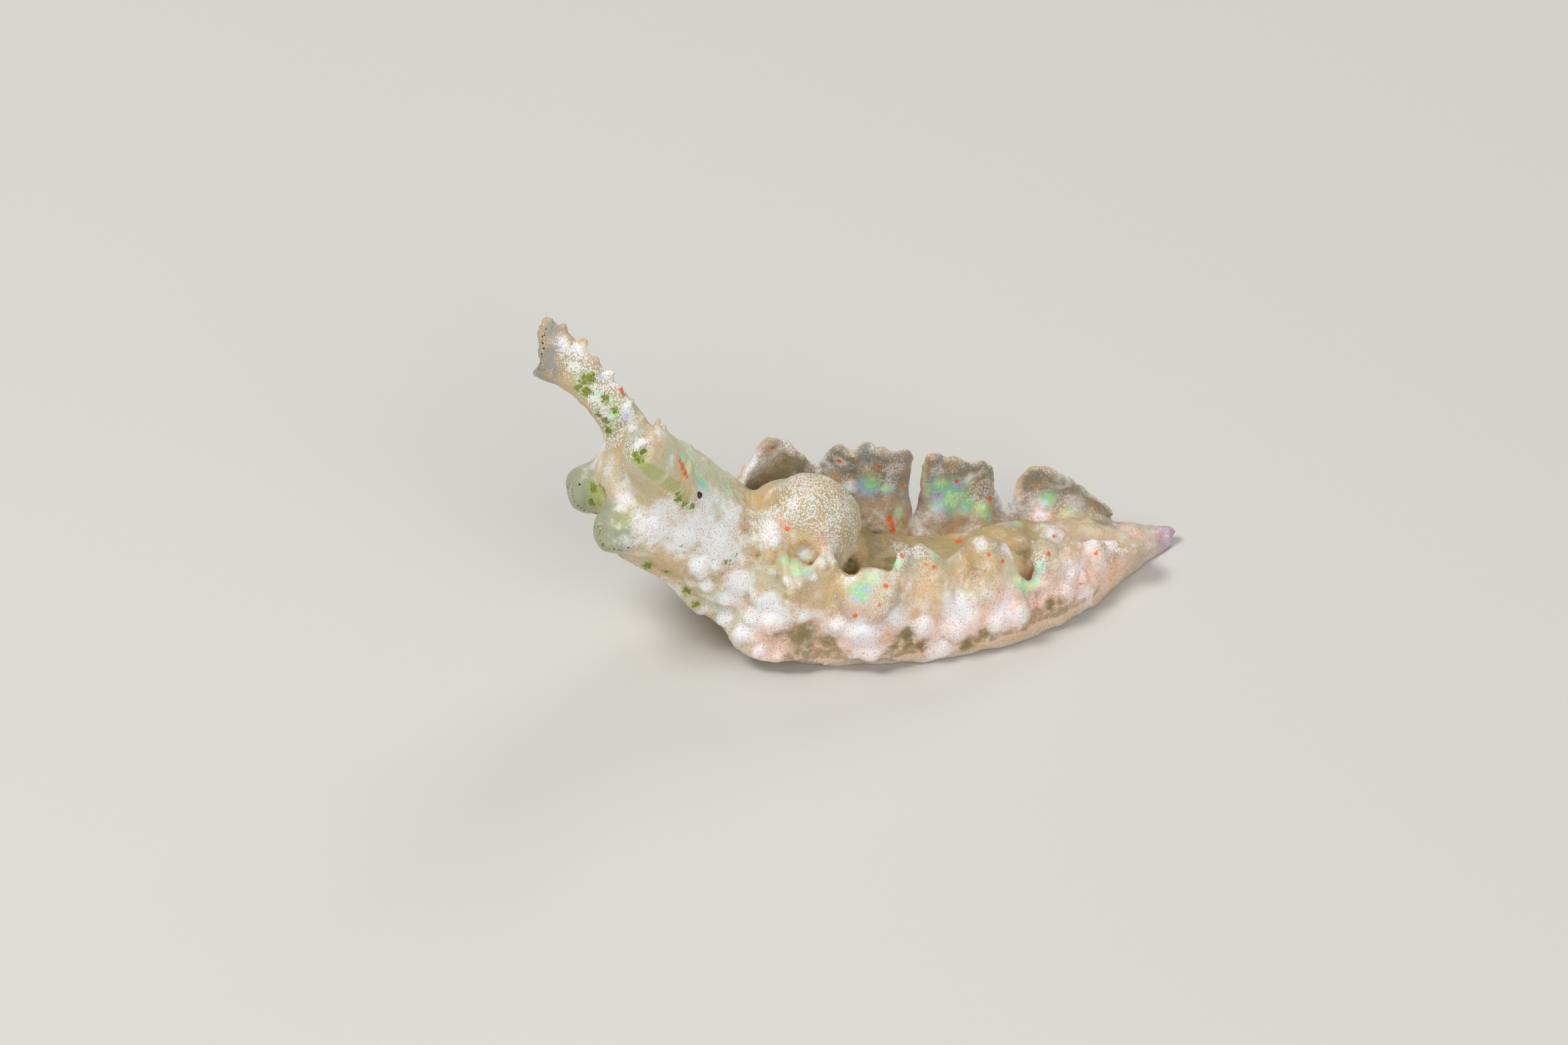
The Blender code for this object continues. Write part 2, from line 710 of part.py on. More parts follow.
def foot_bumps():
    """Low warts along both edges of the foot."""
    draw = random.Random(SEED)
    share, spacing, radius, height = FOOT_ROW
    pieces = []
    for side in SIDE_NAMES:
        for back in row_of_spots(draw, FOOT_SPLIT + 0.5, FOOT_END - 1.2, spacing):
            up = min(profile(FOOT_THICK, back), profile(FOOT_HALF_WIDTH, back)) * 0.62
            foot = place(back, side * foot_half(side, back) * share, up)
            lean = place(back, side * (foot_half(side, back) * share + 0.5), up + 1.0) - foot
            size = draw.uniform(0.75, 1.2)
            pieces.append(bump(foot, lean, radius * size, height * size))
    return pieces


def build_flaps(skin):
    """Three lobes on each side, parted at the notches."""
    half_gap = JOIN_GAP / 2
    for side, splits in FLAP_SPLITS.items():
        bounds = [FLAP_START, *splits, FLAP_END]
        for k, name in enumerate(LOBE_NAMES):
            start = bounds[k] + (half_gap if k > 0 else 0.0)
            end = bounds[k + 1] - (half_gap if k < 2 else 0.0)
            lobe = flap_lobe(f"parapodium_{SIDE_NAMES[side]}_{name}", side, start, end, 18, skin)
            fuse(lobe, flap_bumps(side, start, end, random.Random(SEED + k)))


def rhinophore_bumps(side):
    """Papillae up the hind edge of a feeler."""
    _, _, broad, _ = rhinophore_frame(side)
    pieces = []
    for along, radius, height in RHINO_ROW:
        foot = rhinophore_point(side, along, 0.0)
        pieces.append(bump(foot - broad * 0.02, broad, radius, height))
    return pieces


def build_hump(skin):
    """The hump over the heart, resting on the trunk and the neck."""
    hump = ellipsoid("pericardial_hump", HUMP_BACK, 0.0, HUMP_UP, HUMP_HALF, skin)
    cut(hump, core_length("space", NECK_END - 1.5, TRUNK_SPLIT, 14, skin, grow=JOIN_GAP))


def build_face(skin, eye):
    """The mouth's two lobes, the two feelers and the two eyes."""
    for side, name in SIDE_NAMES.items():
        lobe = ellipsoid("oral_lobe_" + name, LOBE_BACK, side * LOBE_OUT, LOBE_UP, LOBE_HALF, skin)
        cut(lobe, head_length("space", HEAD_END, skin, grow=JOIN_GAP))
        cut(lobe, foot_length("space", FOOT_FRONT - JOIN_GAP, FOOT_SPLIT, 12, skin, grow=JOIN_GAP))
        feeler = rhinophore(side, skin)
        fuse(feeler, rhinophore_bumps(side))
        cut(feeler, head_length("space", HEAD_END, skin, grow=JOIN_GAP))
        out, up = core_point(EYE_BACK, EYE_TURN)
        spot = (EYE_BACK, side * out, up, (EYE_RADIUS,) * 3)
        ellipsoid("eye_" + name, *spot, eye, detail=2)
        cut(bpy.data.objects["head"], ellipsoid("space", *spot, eye, grow=EYE_SOCKET, detail=2))


def main():
    """Builds every node and stands the slug on the floor at the origin."""
    clear_scene()
    skin = finish("skin", (0.75, 0.66, 0.54), 0.5)
    foot = finish("foot", (0.72, 0.64, 0.58), 0.4)
    eye = finish("eye", (0.01, 0.01, 0.01), 0.2)
    build_core(skin)
    build_foot(foot)
    build_flaps(skin)
    build_hump(skin)
    build_face(skin, eye)
    centre_on_floor()


if __name__ == "__main__":
    main()
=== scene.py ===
"""Looks of a sap-sucking sea slug, Elysia ellenae, as a life-size museum model.

The slug crawls on a flat sole with its head raised, and its two side flaps stand up in waves over its
back. Its flesh is one skin: every region is shaped as a closed body in millimetres, all of them are
remeshed into one surface, and warts, folds and markings are then worked into that surface. A place on
the body is given by how far back it lies from the snout along the sole, how far out from the middle
line, and how far up from the sole.
"""

import logging
import math
import random
from dataclasses import dataclass, field
from enum import Enum

import bmesh
import bpy
import numpy as np
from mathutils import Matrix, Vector, kdtree, noise
from mathutils.bvhtree import BVHTree

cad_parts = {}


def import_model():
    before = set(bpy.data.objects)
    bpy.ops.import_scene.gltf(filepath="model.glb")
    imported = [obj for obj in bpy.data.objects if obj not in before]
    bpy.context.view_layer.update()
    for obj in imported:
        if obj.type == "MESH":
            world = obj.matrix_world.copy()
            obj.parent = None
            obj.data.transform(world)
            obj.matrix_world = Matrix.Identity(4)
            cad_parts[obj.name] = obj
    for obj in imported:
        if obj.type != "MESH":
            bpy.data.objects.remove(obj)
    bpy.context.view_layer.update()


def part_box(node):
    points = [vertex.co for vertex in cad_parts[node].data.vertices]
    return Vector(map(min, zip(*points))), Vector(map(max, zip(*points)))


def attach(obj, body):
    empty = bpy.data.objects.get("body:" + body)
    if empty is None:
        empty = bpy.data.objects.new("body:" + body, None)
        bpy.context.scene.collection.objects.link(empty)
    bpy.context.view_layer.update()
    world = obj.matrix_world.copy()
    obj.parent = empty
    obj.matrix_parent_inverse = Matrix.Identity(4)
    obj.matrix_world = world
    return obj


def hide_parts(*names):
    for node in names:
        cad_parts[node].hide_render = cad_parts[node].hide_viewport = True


log = logging.getLogger("sea_slug")

MM = 0.001
JOIN_GAP = 0.08
Keys = list[tuple[float, float]]
Triple = tuple[np.ndarray, np.ndarray, np.ndarray]
Socket = bpy.types.NodeSocket


class Side(Enum):
    """The slug's own two sides; the value is the sign of the way out from its middle line."""

    LEFT = 1
    RIGHT = -1


def srgb(red: int, green: int, blue: int) -> tuple[float, float, float, float]:
    """Turns a colour as seen, 0 to 255 a channel, into linear values with full alpha."""

    def linear(value: int) -> float:
        """One channel in linear light."""
        share = value / 255
        return share / 12.92 if share <= 0.04045 else ((share + 0.055) / 1.055) ** 2.4

    return (linear(red), linear(green), linear(blue), 1.0)


def through(keys: Keys, at: np.ndarray | float) -> np.ndarray:
    """Smooth values through (distance, value) pairs, without overshoot.

    Args:
        keys: the pairs, in order of distance.
        at: the distances that are asked for.

    Returns:
        The value at each distance.
    """
    x, y = np.array(keys, float).T
    step = np.diff(y) / np.diff(x)
    product = step[:-1] * step[1:]
    total = np.where(product > 0, step[:-1] + step[1:], 1.0)
    slope = np.concatenate([step[:1], np.where(product > 0, 2 * product / total, 0.0), step[-1:]])
    at = np.clip(np.asarray(at, float), x[0], x[-1])
    k = np.clip(np.searchsorted(x, at, "right") - 1, 0, len(x) - 2)
    width = x[k + 1] - x[k]
    t = (at - x[k]) / width
    near = y[k] * (1 + 2 * t) * (1 - t) ** 2 + slope[k] * width * t * (1 - t) ** 2
    return near + y[k + 1] * t * t * (3 - 2 * t) + slope[k + 1] * width * t * t * (t - 1)


def unit(vectors: np.ndarray) -> np.ndarray:
    """The same directions at a length of one."""
    return vectors / np.maximum(np.linalg.norm(vectors, axis=-1, keepdims=True), 1e-12)


def ease(value: np.ndarray | float, none: float, full: float) -> np.ndarray:
    """Turns smoothly from 0 at none to 1 at full, which may be the smaller of the two."""
    t = np.clip((np.asarray(value, float) - none) / (full - none), 0.0, 1.0)
    return t * t * (3 - 2 * t)


def blunt(value: np.ndarray, power: np.ndarray | float) -> np.ndarray:
    """A sine or cosine raised to a power with its sign kept, for a rounded box in place of a circle."""
    return np.sign(value) * np.abs(value) ** power


def ripple(back: np.ndarray, length: float, turn: float) -> np.ndarray:
    """A wave along the body, from -1 to 1."""
    return np.sin(2 * math.pi * back / length + turn)


def cloud(points: np.ndarray, scale: float, shift: float = 0.0) -> np.ndarray:
    """Smooth noise at each point, from -1 to 1."""
    return np.array([noise.noise(Vector(point * scale + shift)) for point in points])


def point_finder(points: np.ndarray) -> kdtree.KDTree:
    """A search tree over these points."""
    finder = kdtree.KDTree(len(points))
    for index, point in enumerate(points):
        finder.insert(point, index)
    finder.balance()
    return finder


def table(*values: tuple) -> list:
    """A dataclass default that gives each instance its own list of these rows."""
    return field(default_factory=lambda: list(values))


@dataclass
class BodyPlan:
    """The sizes that the solids are built from, in millimetres, and the places they give."""

    sole: list[tuple[float, float, float, float]] = table(
        (-0.30, -4.74, 2.12, 2.52), (0.00, -4.46, 2.14, 2.42), (0.60, -3.90, 2.18, 2.14),
        (1.40, -3.20, 2.19, 1.52), (2.20, -2.53, 2.13, 0.84), (3.00, -1.91, 2.06, 0.30),
        (3.80, -1.20, 1.92, 0.00), (4.60, -0.43, 1.68, 0.00), (5.90, 0.82, 1.33, 0.00),
        (7.25, 2.17, 1.22, 0.00), (8.65, 3.56, 1.36, 0.00), (9.95, 4.82, 1.62, 0.00),
        (10.95, 5.80, 1.77, 0.00), (11.65, 6.50, 1.80, 0.00),
    )
    lean: Keys = table((-0.3, 6.0), (1.4, 14.0), (3.0, 12.0), (4.6, 0.0), (11.65, 0.0))
    core_half_width: Keys = table(
        (-0.3, 0.98), (0.8, 1.10), (1.6, 1.20), (2.4, 1.18), (3.2, 1.02), (4.0, 0.82), (6.0, 0.78),
        (8.6, 0.70), (9.8, 0.52), (10.8, 0.28), (11.65, 0.12),
    )
    core_height: Keys = table(
        (-0.3, 1.80), (0.3, 2.15), (0.8, 2.36), (1.6, 2.44), (2.4, 2.42), (3.2, 2.25), (4.0, 1.95),
        (5.0, 1.75), (6.5, 1.45), (8.6, 1.20), (9.8, 0.90), (10.8, 0.52), (11.65, 0.32),
    )
    foot_half_width: Keys = table(
        (-0.3, 0.46), (0.3, 0.58), (0.8, 0.80), (1.4, 0.93), (2.2, 1.00), (3.0, 1.10), (3.8, 1.28),
        (5.0, 1.46), (7.0, 1.50), (8.7, 1.28), (9.9, 0.90), (10.9, 0.44), (11.5, 0.17),
    )
    foot_thick: Keys = table((-0.3, 0.24), (2.0, 0.28), (4.0, 0.45), (10.2, 0.45), (11.65, 0.12))
    look: float = 0.08
    eye_back: float = 1.32
    eye_turn: float = 42.0
    shift: np.ndarray = field(default_factory=lambda: np.zeros(3))

    def sole_point(self, back: np.ndarray) -> np.ndarray:
        """Points on the sole's middle line at these distances from the snout."""
        lines = [[(row[0], row[axis]) for row in self.sole] for axis in (1, 2, 3)]
        return np.stack([through(keys, back) for keys in lines], axis=-1)

    def section(self, back: np.ndarray) -> Triple:
        """Middle point of the sole and the unit directions left and up at these distances."""
        back = np.asarray(back, float)
        level = self.sole_point(back + self.look) - self.sole_point(back - self.look)
        level[..., 2] = 0.0
        level = unit(level)
        left = np.stack([level[..., 1], -level[..., 0], np.zeros_like(back)], axis=-1)
        lean = np.radians(through(self.lean, back))[..., None]
        up = level * np.sin(lean) + np.array([0.0, 0.0, 1.0]) * np.cos(lean)
        return self.sole_point(back), left, up

    def place(self, back: np.ndarray, out: np.ndarray, up: np.ndarray) -> np.ndarray:
        """Points at distances back, out to the left and up from the sole, in the model's frame."""
        back, out, up = np.broadcast_arrays(*(np.asarray(v, float) for v in (back, out, up)))
        origin, left_way, up_way = self.section(back)
        return origin + out[..., None] * left_way + up[..., None] * up_way + self.shift

    def core_point(self, back: np.ndarray, turn: np.ndarray) -> tuple[np.ndarray, np.ndarray]:
        """Where the core's surface lies (out, up) at angles in degrees, 90 on top."""
        tall = through(self.core_height, back)
        low = through(self.foot_thick, back) + JOIN_GAP
        power = 2 / CoreBody.round_power
        out = through(self.core_half_width, back) * blunt(np.cos(np.radians(turn)), power)
        return out, (low + tall) / 2 + (tall - low) / 2 * blunt(np.sin(np.radians(turn)), power)

    def match_frame(self, eye_corners: tuple[Vector, Vector]) -> None:
        """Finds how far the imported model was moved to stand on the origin, from its left eye."""
        low, high = (np.array(corner) / MM for corner in eye_corners)
        out, up = self.core_point(self.eye_back, self.eye_turn)
        self.shift = (low + high) / 2 - self.place(self.eye_back, out, up)


def select_only(obj: bpy.types.Object) -> None:
    """Leaves this object alone selected and active."""
    bpy.ops.object.select_all(action="DESELECT")
    obj.select_set(True)
    bpy.context.view_layer.objects.active = obj


def shaped_tube(name: str, points: np.ndarray) -> bpy.types.Object:
    """Shapes a grid into a tube that is closed round its sides and at both ends.

    Args:
        name: the new object's name.
        points: rings by points by three, in millimetres.

    Returns:
        The closed mesh object.
    """
    points = np.concatenate([points, points[:, :1]], axis=1)
    rows, columns = points.shape[:2]
    bpy.ops.object.select_all(action="DESELECT")
    bpy.ops.mesh.primitive_grid_add(x_subdivisions=columns - 1, y_subdivisions=rows - 1, size=2)
    obj = bpy.context.object
    obj.name = name
    flat = read_points(obj.data)
    column = np.rint((flat[:, 0] + 1) / 2 * (columns - 1)).astype(int)
    row = np.rint((flat[:, 1] + 1) / 2 * (rows - 1)).astype(int)
    write_points(obj.data, points[row, column])
    bpy.ops.object.mode_set(mode="EDIT")
    bpy.ops.mesh.select_all(action="SELECT")
    bpy.ops.mesh.remove_doubles(threshold=1e-5)
    bpy.ops.mesh.fill_holes(sides=0)
    bpy.ops.mesh.normals_make_consistent(inside=False)
    bpy.ops.object.mode_set(mode="OBJECT")
    return obj


def read_points(mesh: bpy.types.Mesh) -> np.ndarray:
    """The mesh's vertices as an array."""
    flat = np.empty(len(mesh.vertices) * 3)
    mesh.vertices.foreach_get("co", flat)
    return flat.reshape(-1, 3)


def read_normals(mesh: bpy.types.Mesh) -> np.ndarray:
    """The mesh's vertex normals as an array."""
    flat = np.empty(len(mesh.vertices) * 3)
    mesh.vertex_normals.foreach_get("vector", flat)
    return flat.reshape(-1, 3)


def write_points(mesh: bpy.types.Mesh, points: np.ndarray) -> None:
    """Moves the mesh's vertices to these points."""
    mesh.vertices.foreach_set("co", np.asarray(points, float).ravel())
    mesh.update()


def new_ball(
    name: str, segments: int, rings: int, radius: float = 1.0, middle: tuple | Vector = (0.0, 0.0, 0.0)
) -> bpy.types.Object:
    """Adds a sphere and leaves it alone selected."""
    bpy.ops.object.select_all(action="DESELECT")
    bpy.ops.mesh.primitive_uv_sphere_add(
        segments=segments, ring_count=rings, radius=radius, location=middle
    )
    bpy.context.object.name = name
    return bpy.context.object


def link_new(name: str, data: bpy.types.ID) -> bpy.types.Object:
    """Puts a new object with this data in the scene."""
    obj = bpy.data.objects.new(name, data)
    bpy.context.scene.collection.objects.link(obj)
    return obj


def apply_modifier(obj: bpy.types.Object, kind: str, **settings: object) -> None:
    """Adds one modifier with these settings and applies it."""
    select_only(obj)
    modifier = obj.modifiers.new(kind.lower(), kind)
    for key, value in settings.items():
        setattr(modifier, key, value)
    bpy.ops.object.modifier_apply(modifier=modifier.name)


@dataclass
class CoreBody:
    """Head, neck, trunk and tail, as one rounded length."""

    plan: BodyPlan
    end: float = 11.65
    snout_round: float = 0.60
    tail_round: float = 0.45
    sole_power: float = 4.0
    crowded: float = 0.35
    even: float = 0.65
    least_swell: float = 0.06
    sunk_share: float = 0.8
    rings: int = 120
    sides: int = 44
    round_power = 2.2

    def build(self) -> bpy.types.Object:
        """Lofts the whole core from snout to tail."""
        t = np.linspace(0.0, 1.0, self.rings)
        eased = self.end * (1 - np.cos(t * math.pi / 2))
        back = eased * self.crowded + self.end * t * self.even
        ahead = np.clip(back / self.snout_round, 0.0, 1.0)
        behind = np.clip((self.end - back) / self.tail_round, 0.0, 1.0)
        swell = np.sqrt(1 - (1 - ahead) ** 2) * np.sqrt(1 - (1 - behind) ** 2)
        swell = np.maximum(swell, self.least_swell)
        half_wide = through(self.plan.core_half_width, back) * swell
        tall = through(self.plan.core_height, back)
        low = through(self.plan.foot_thick, back) * self.sunk_share
        turn = 2 * math.pi * (np.arange(self.sides) + 0.5) / self.sides
        power = 2 / np.where(np.sin(turn) < 0, self.sole_power, self.round_power)
        out = half_wide[:, None] * blunt(np.cos(turn), power)
        up = (low + tall)[:, None] / 2 + ((tall - low) / 2 * swell)[:, None] * blunt(np.sin(turn), power)
        return shaped_tube("core", self.plan.place(back[:, None], out, up))


@dataclass
class Foot:
    """The crawling sole with its thin wavy edge, and the ledge above it."""

    plan: BodyPlan
    start: float = 0.30
    end: float = 11.50
    edge: float = 0.10
    waves: Keys = table((1.55, 0.035), (0.62, 0.022))
    # Round the foot: share of the half width, then height in shares of the edge and of the foot
    profile: list[tuple[float, float, float]] = table(
        (0.5, 0.0, 0.0), (0.97, 0.0, 0.0), (1.0, 0.45, 0.0), (0.985, 1.0, 0.0), (0.93, 1.0, 0.16),
        (0.86, 1.0, 0.30), (0.78, 1.0, 0.50), (0.66, 0.0, 1.0), (0.3, 0.0, 1.05),
    )
    rings: int = 230

    def half(self, side: Side, back: np.ndarray) -> np.ndarray:
        """How far the wavy edge lies from the middle line."""
        half = through(self.plan.foot_half_width, back)
        calm = np.minimum(1.0, half / 1.2)
        for length, depth in self.waves:
            half = half + depth * calm * ripple(back, length, side.value)
        return half

    def build(self) -> bpy.types.Object:
        """Lofts the foot: flat below, a thin edge, then up to the flank."""
        back = np.linspace(self.start, self.end, self.rings)
        thick = np.minimum(through(self.plan.foot_thick, back), through(self.plan.foot_half_width, back))
        ups = [np.minimum(self.edge * edge, thick) + thick * top for _, edge, top in self.profile]
        ups = np.stack(ups, 1)
        left, right = (
            np.stack([self.half(side, back) * share * side.value for share, _, _ in self.profile], 1)
            for side in Side
        )
        out = np.concatenate([left, right[:, ::-1]], axis=1)
        up = np.concatenate([ups, ups[:, ::-1]], axis=1)
        return shaped_tube("foot", self.plan.place(back[:, None], out, up))


@dataclass
class Notch:
    """A place where a flap's free edge dips and rolls outwards into a spout."""

    back: float
    span: float
    drop: float
    roll: float
    lip_out: float = 0.0
    lip_down: float = 0.0
    lip_from: float = 0.5
    pinch: float = 0.0
    widen: float = 0.0
    lean: float = 0.0
    power: float = 2.6
    saddle: tuple[float, float] | None = None
    edge: tuple[float, float] = (0.0, 0.0)

    def weight(self, back: np.ndarray) -> np.ndarray:
        """How strongly the notch pulls at these distances, 1 at its middle."""
        return np.exp(-((np.abs(back - self.back) / self.span) ** self.power))

    def slide(self, back: np.ndarray) -> np.ndarray:
        """How far the free edge moves along the body: apart low in the notch, together at its mouth."""
        u = (back - self.back) / self.span
        low = np.exp(-(((np.abs(u) - 0.75) / 0.40) ** 2))
        mouth = np.exp(-(((np.abs(u) - 1.30) / 0.45) ** 2))
        return np.sign(u) * (self.widen * low - self.pinch * mouth) + self.lean * mouth

    def spout(self, v: np.ndarray, root: np.ndarray, low: np.ndarray, swell: np.ndarray) -> tuple:
        """The wall's profile in the notch: up to a saddle, then over it into a hanging lip.

        Args:
            v: 0 at the root to 1 at the free edge.
            root: how far out the root stands.
            low: how high the root lies.
            swell: how far the wall bulges.

        Returns:
            Out and up of each point.
        """
        fold = 0.60
        rising = np.clip(v / fold, 0, 1)
        hanging = np.clip((v - fold) / (1 - fold), 0, 1)
        out = root + (self.saddle[0] - root) * rising ** 2 + 0.7 * swell * np.sin(math.pi * rising)
        up = low + (self.saddle[1] - low) * np.sin(math.pi / 2 * rising)
        out = out + (self.edge[0] - self.saddle[0]) * np.sin(math.pi / 2 * hanging)
        return out, up + (self.edge[1] - self.saddle[1]) * hanging ** 1.7


@dataclass
class Flap:
    """One of the two side flaps, a thin wall that stands up in lobes along the back."""

    plan: BodyPlan
    side: Side
    tall: Keys
    out: Keys
    notches: list[Notch]
    # Waves as length and depth: of the edge's height, of the whole wall, of its upper part, of its hem
    crest: tuple[float, float] = (0.53, 0.045)
    sway: tuple[float, float] = (0.71, 0.05)
    folds: tuple[float, float] = (0.95, 0.05)
    frill: tuple[float, float] = (0.31, 0.030)
    start: float = 2.70
    end: float = 10.45
    root_thick: float = 0.52
    edge_thick: float = 0.15
    bulge: float = 0.38
    bulge_share: float = 0.34
    least_height: float = 0.30
    least_thick: float = 0.13
    root_share: float = 0.46
    root_flare: float = 0.35
    front_length: float = 0.55
    front_lift: float = 0.5
    front_sink: float = 0.55
    front_pad: float = 0.22
    rear_length: float = 0.5
    rear_sink: float = 0.25
    shoulder: float = 0.42
    rings: int = 300
    rows: int = 34

    def height(self, back: np.ndarray) -> tuple[np.ndarray, np.ndarray]:
        """Where the root lies and how high the flap stands over it."""
        low = through(self.plan.foot_thick, back) + JOIN_GAP
        tall = through(self.tall, back) + self.crest[1] * ripple(back, self.crest[0], self.side.value)
        for notch in self.notches:
            tall = tall - notch.drop * notch.weight(back)
        return low, np.maximum(tall - low, self.least_height)

    def surface(self, back: np.ndarray, v: np.ndarray) -> np.ndarray:
        """Points of the flap's middle surface, v from 0 at the root to 1 at the free edge."""
        back, v = np.broadcast_arrays(np.asarray(back, float), np.asarray(v, float))
        sign = self.side.value
        core = through(self.plan.core_half_width, back)
        low, height = self.height(back)
        out = through(self.out, back) + self.sway[1] * ripple(back, self.sway[0], -sign)
        spout = sum(notch.weight(back) for notch in self.notches)
        for notch in self.notches:
            out = out + notch.roll * notch.weight(back)
        front = 1 - ease(back, self.start, self.start + self.front_length)
        rear = 1 - ease(back, self.end, self.end - self.rear_length)
        low, height = low + self.front_lift * front, height - self.front_lift * front
        shoulder = self.shoulder * (1 - ease(back, self.start, self.start + 2 * self.front_length))
        root = core + JOIN_GAP + 0.5 * np.minimum(self.root_thick, height * self.root_share)
        swell = np.minimum(self.bulge, height * self.bulge_share)
        p0 = (root - 0.06 - shoulder, low - 0.10)
        p1 = (root + swell * 0.95 - shoulder, low + height * 0.34)
        p2 = (root * 0.45 + out * 0.55 + swell * 0.60, low + height * 0.74)
        p3 = (np.maximum(out, core - height * 0.1), low + height)
        b = ((1 - v) ** 3, 3 * v * (1 - v) ** 2, 3 * v * v * (1 - v), v ** 3)
        x, z = (sum(weight * point[axis] for weight, point in zip(b, (p0, p1, p2, p3))) for axis in (0, 1))
        slide = np.zeros_like(x)
        for notch in self.notches:
            weight = notch.weight(back)
            x = x + weight * notch.lip_out * ease(v, notch.lip_from, 0.92)
            z = z - weight * notch.lip_down * ease(v, notch.lip_from + 0.22, 1.0)
            slide = slide + notch.slide(back) * v ** 2
            if notch.saddle:
                spout_out, spout_up = notch.spout(v, root, low, swell)
                x = x + (spout_out - x) * weight
                z = z + (spout_up - z) * weight
        x = x + self.folds[1] * v ** 1.6 * ripple(back, self.folds[0], 1.3 * sign)
        calm = 1 - 0.7 * np.minimum(spout, 1)
        x = x + self.frill[1] * v ** 4 * calm * ripple(back, self.frill[0], 1.7 * sign)
        x = x - self.front_sink * front ** 1.5 - self.rear_sink * rear ** 1.5
        return self.plan.place(back + slide, x * sign, z)

    def across(self, back: np.ndarray, v: np.ndarray) -> np.ndarray:
        """Unit directions out of the flap's outer face."""
        step = 0.012
        along = self.surface(back + step, v) - self.surface(back - step, v)
        rising = self.surface(back, np.minimum(v + step, 1.0)) - self.surface(back, np.maximum(v - step, 0.0))
        return unit(np.cross(along, rising)) * self.side.value

    def build(self) -> bpy.types.Object:
        """Wraps a wall of tapering thickness round the middle surface."""
        back = np.linspace(self.start, self.end, self.rings)[:, None]
        v = np.linspace(0.0, 1.0, self.rows)[None, :]
        back, v = np.broadcast_arrays(back, v)
        middle = self.surface(back, v)
        across = self.across(back, v)
        thick_root = np.minimum(self.root_thick, self.height(back)[1] * self.root_share)
        ends = ease(back, self.start, self.start + 0.3) * ease(back, self.end, self.end - self.rear_length)
        thick = thick_root * (1 - v) ** 1.4 + self.edge_thick * (1 - (1 - v) ** 1.4)
        front = 1 - ease(back, self.start + 0.1, self.start + 0.9)
        thick = thick + self.front_pad * front * (1 - v ** 2) * ease(v, 0.2, 0.5)
        thick = np.maximum(thick, self.least_thick)
        thick = thick * (0.5 + 0.5 * ends)
        half = thick[..., None] / 2
        outer = middle + across * (half + self.root_flare * (1 - v[..., None]) ** 6)
        inner = middle - across * half
        rising = unit(middle[:, -1] - middle[:, -2])
        tip = middle[:, -1] + rising * half[:, -1] * 0.8
        points = np.concatenate([outer, tip[:, None], inner[:, ::-1]], axis=1)
        return shaped_tube("flap_" + self.side.name.lower(), points)

    def point(self, back: float, v: float) -> np.ndarray:
        """One point of the middle surface."""
        return self.surface(np.array([back]), np.array([v]))[0]

    def face_point(self, back: float, v: float) -> np.ndarray:
        """A point near the outer face."""
        back, v = np.array([back]), np.array([v])
        return (self.surface(back, v) + self.across(back, v) * 0.1)[0]


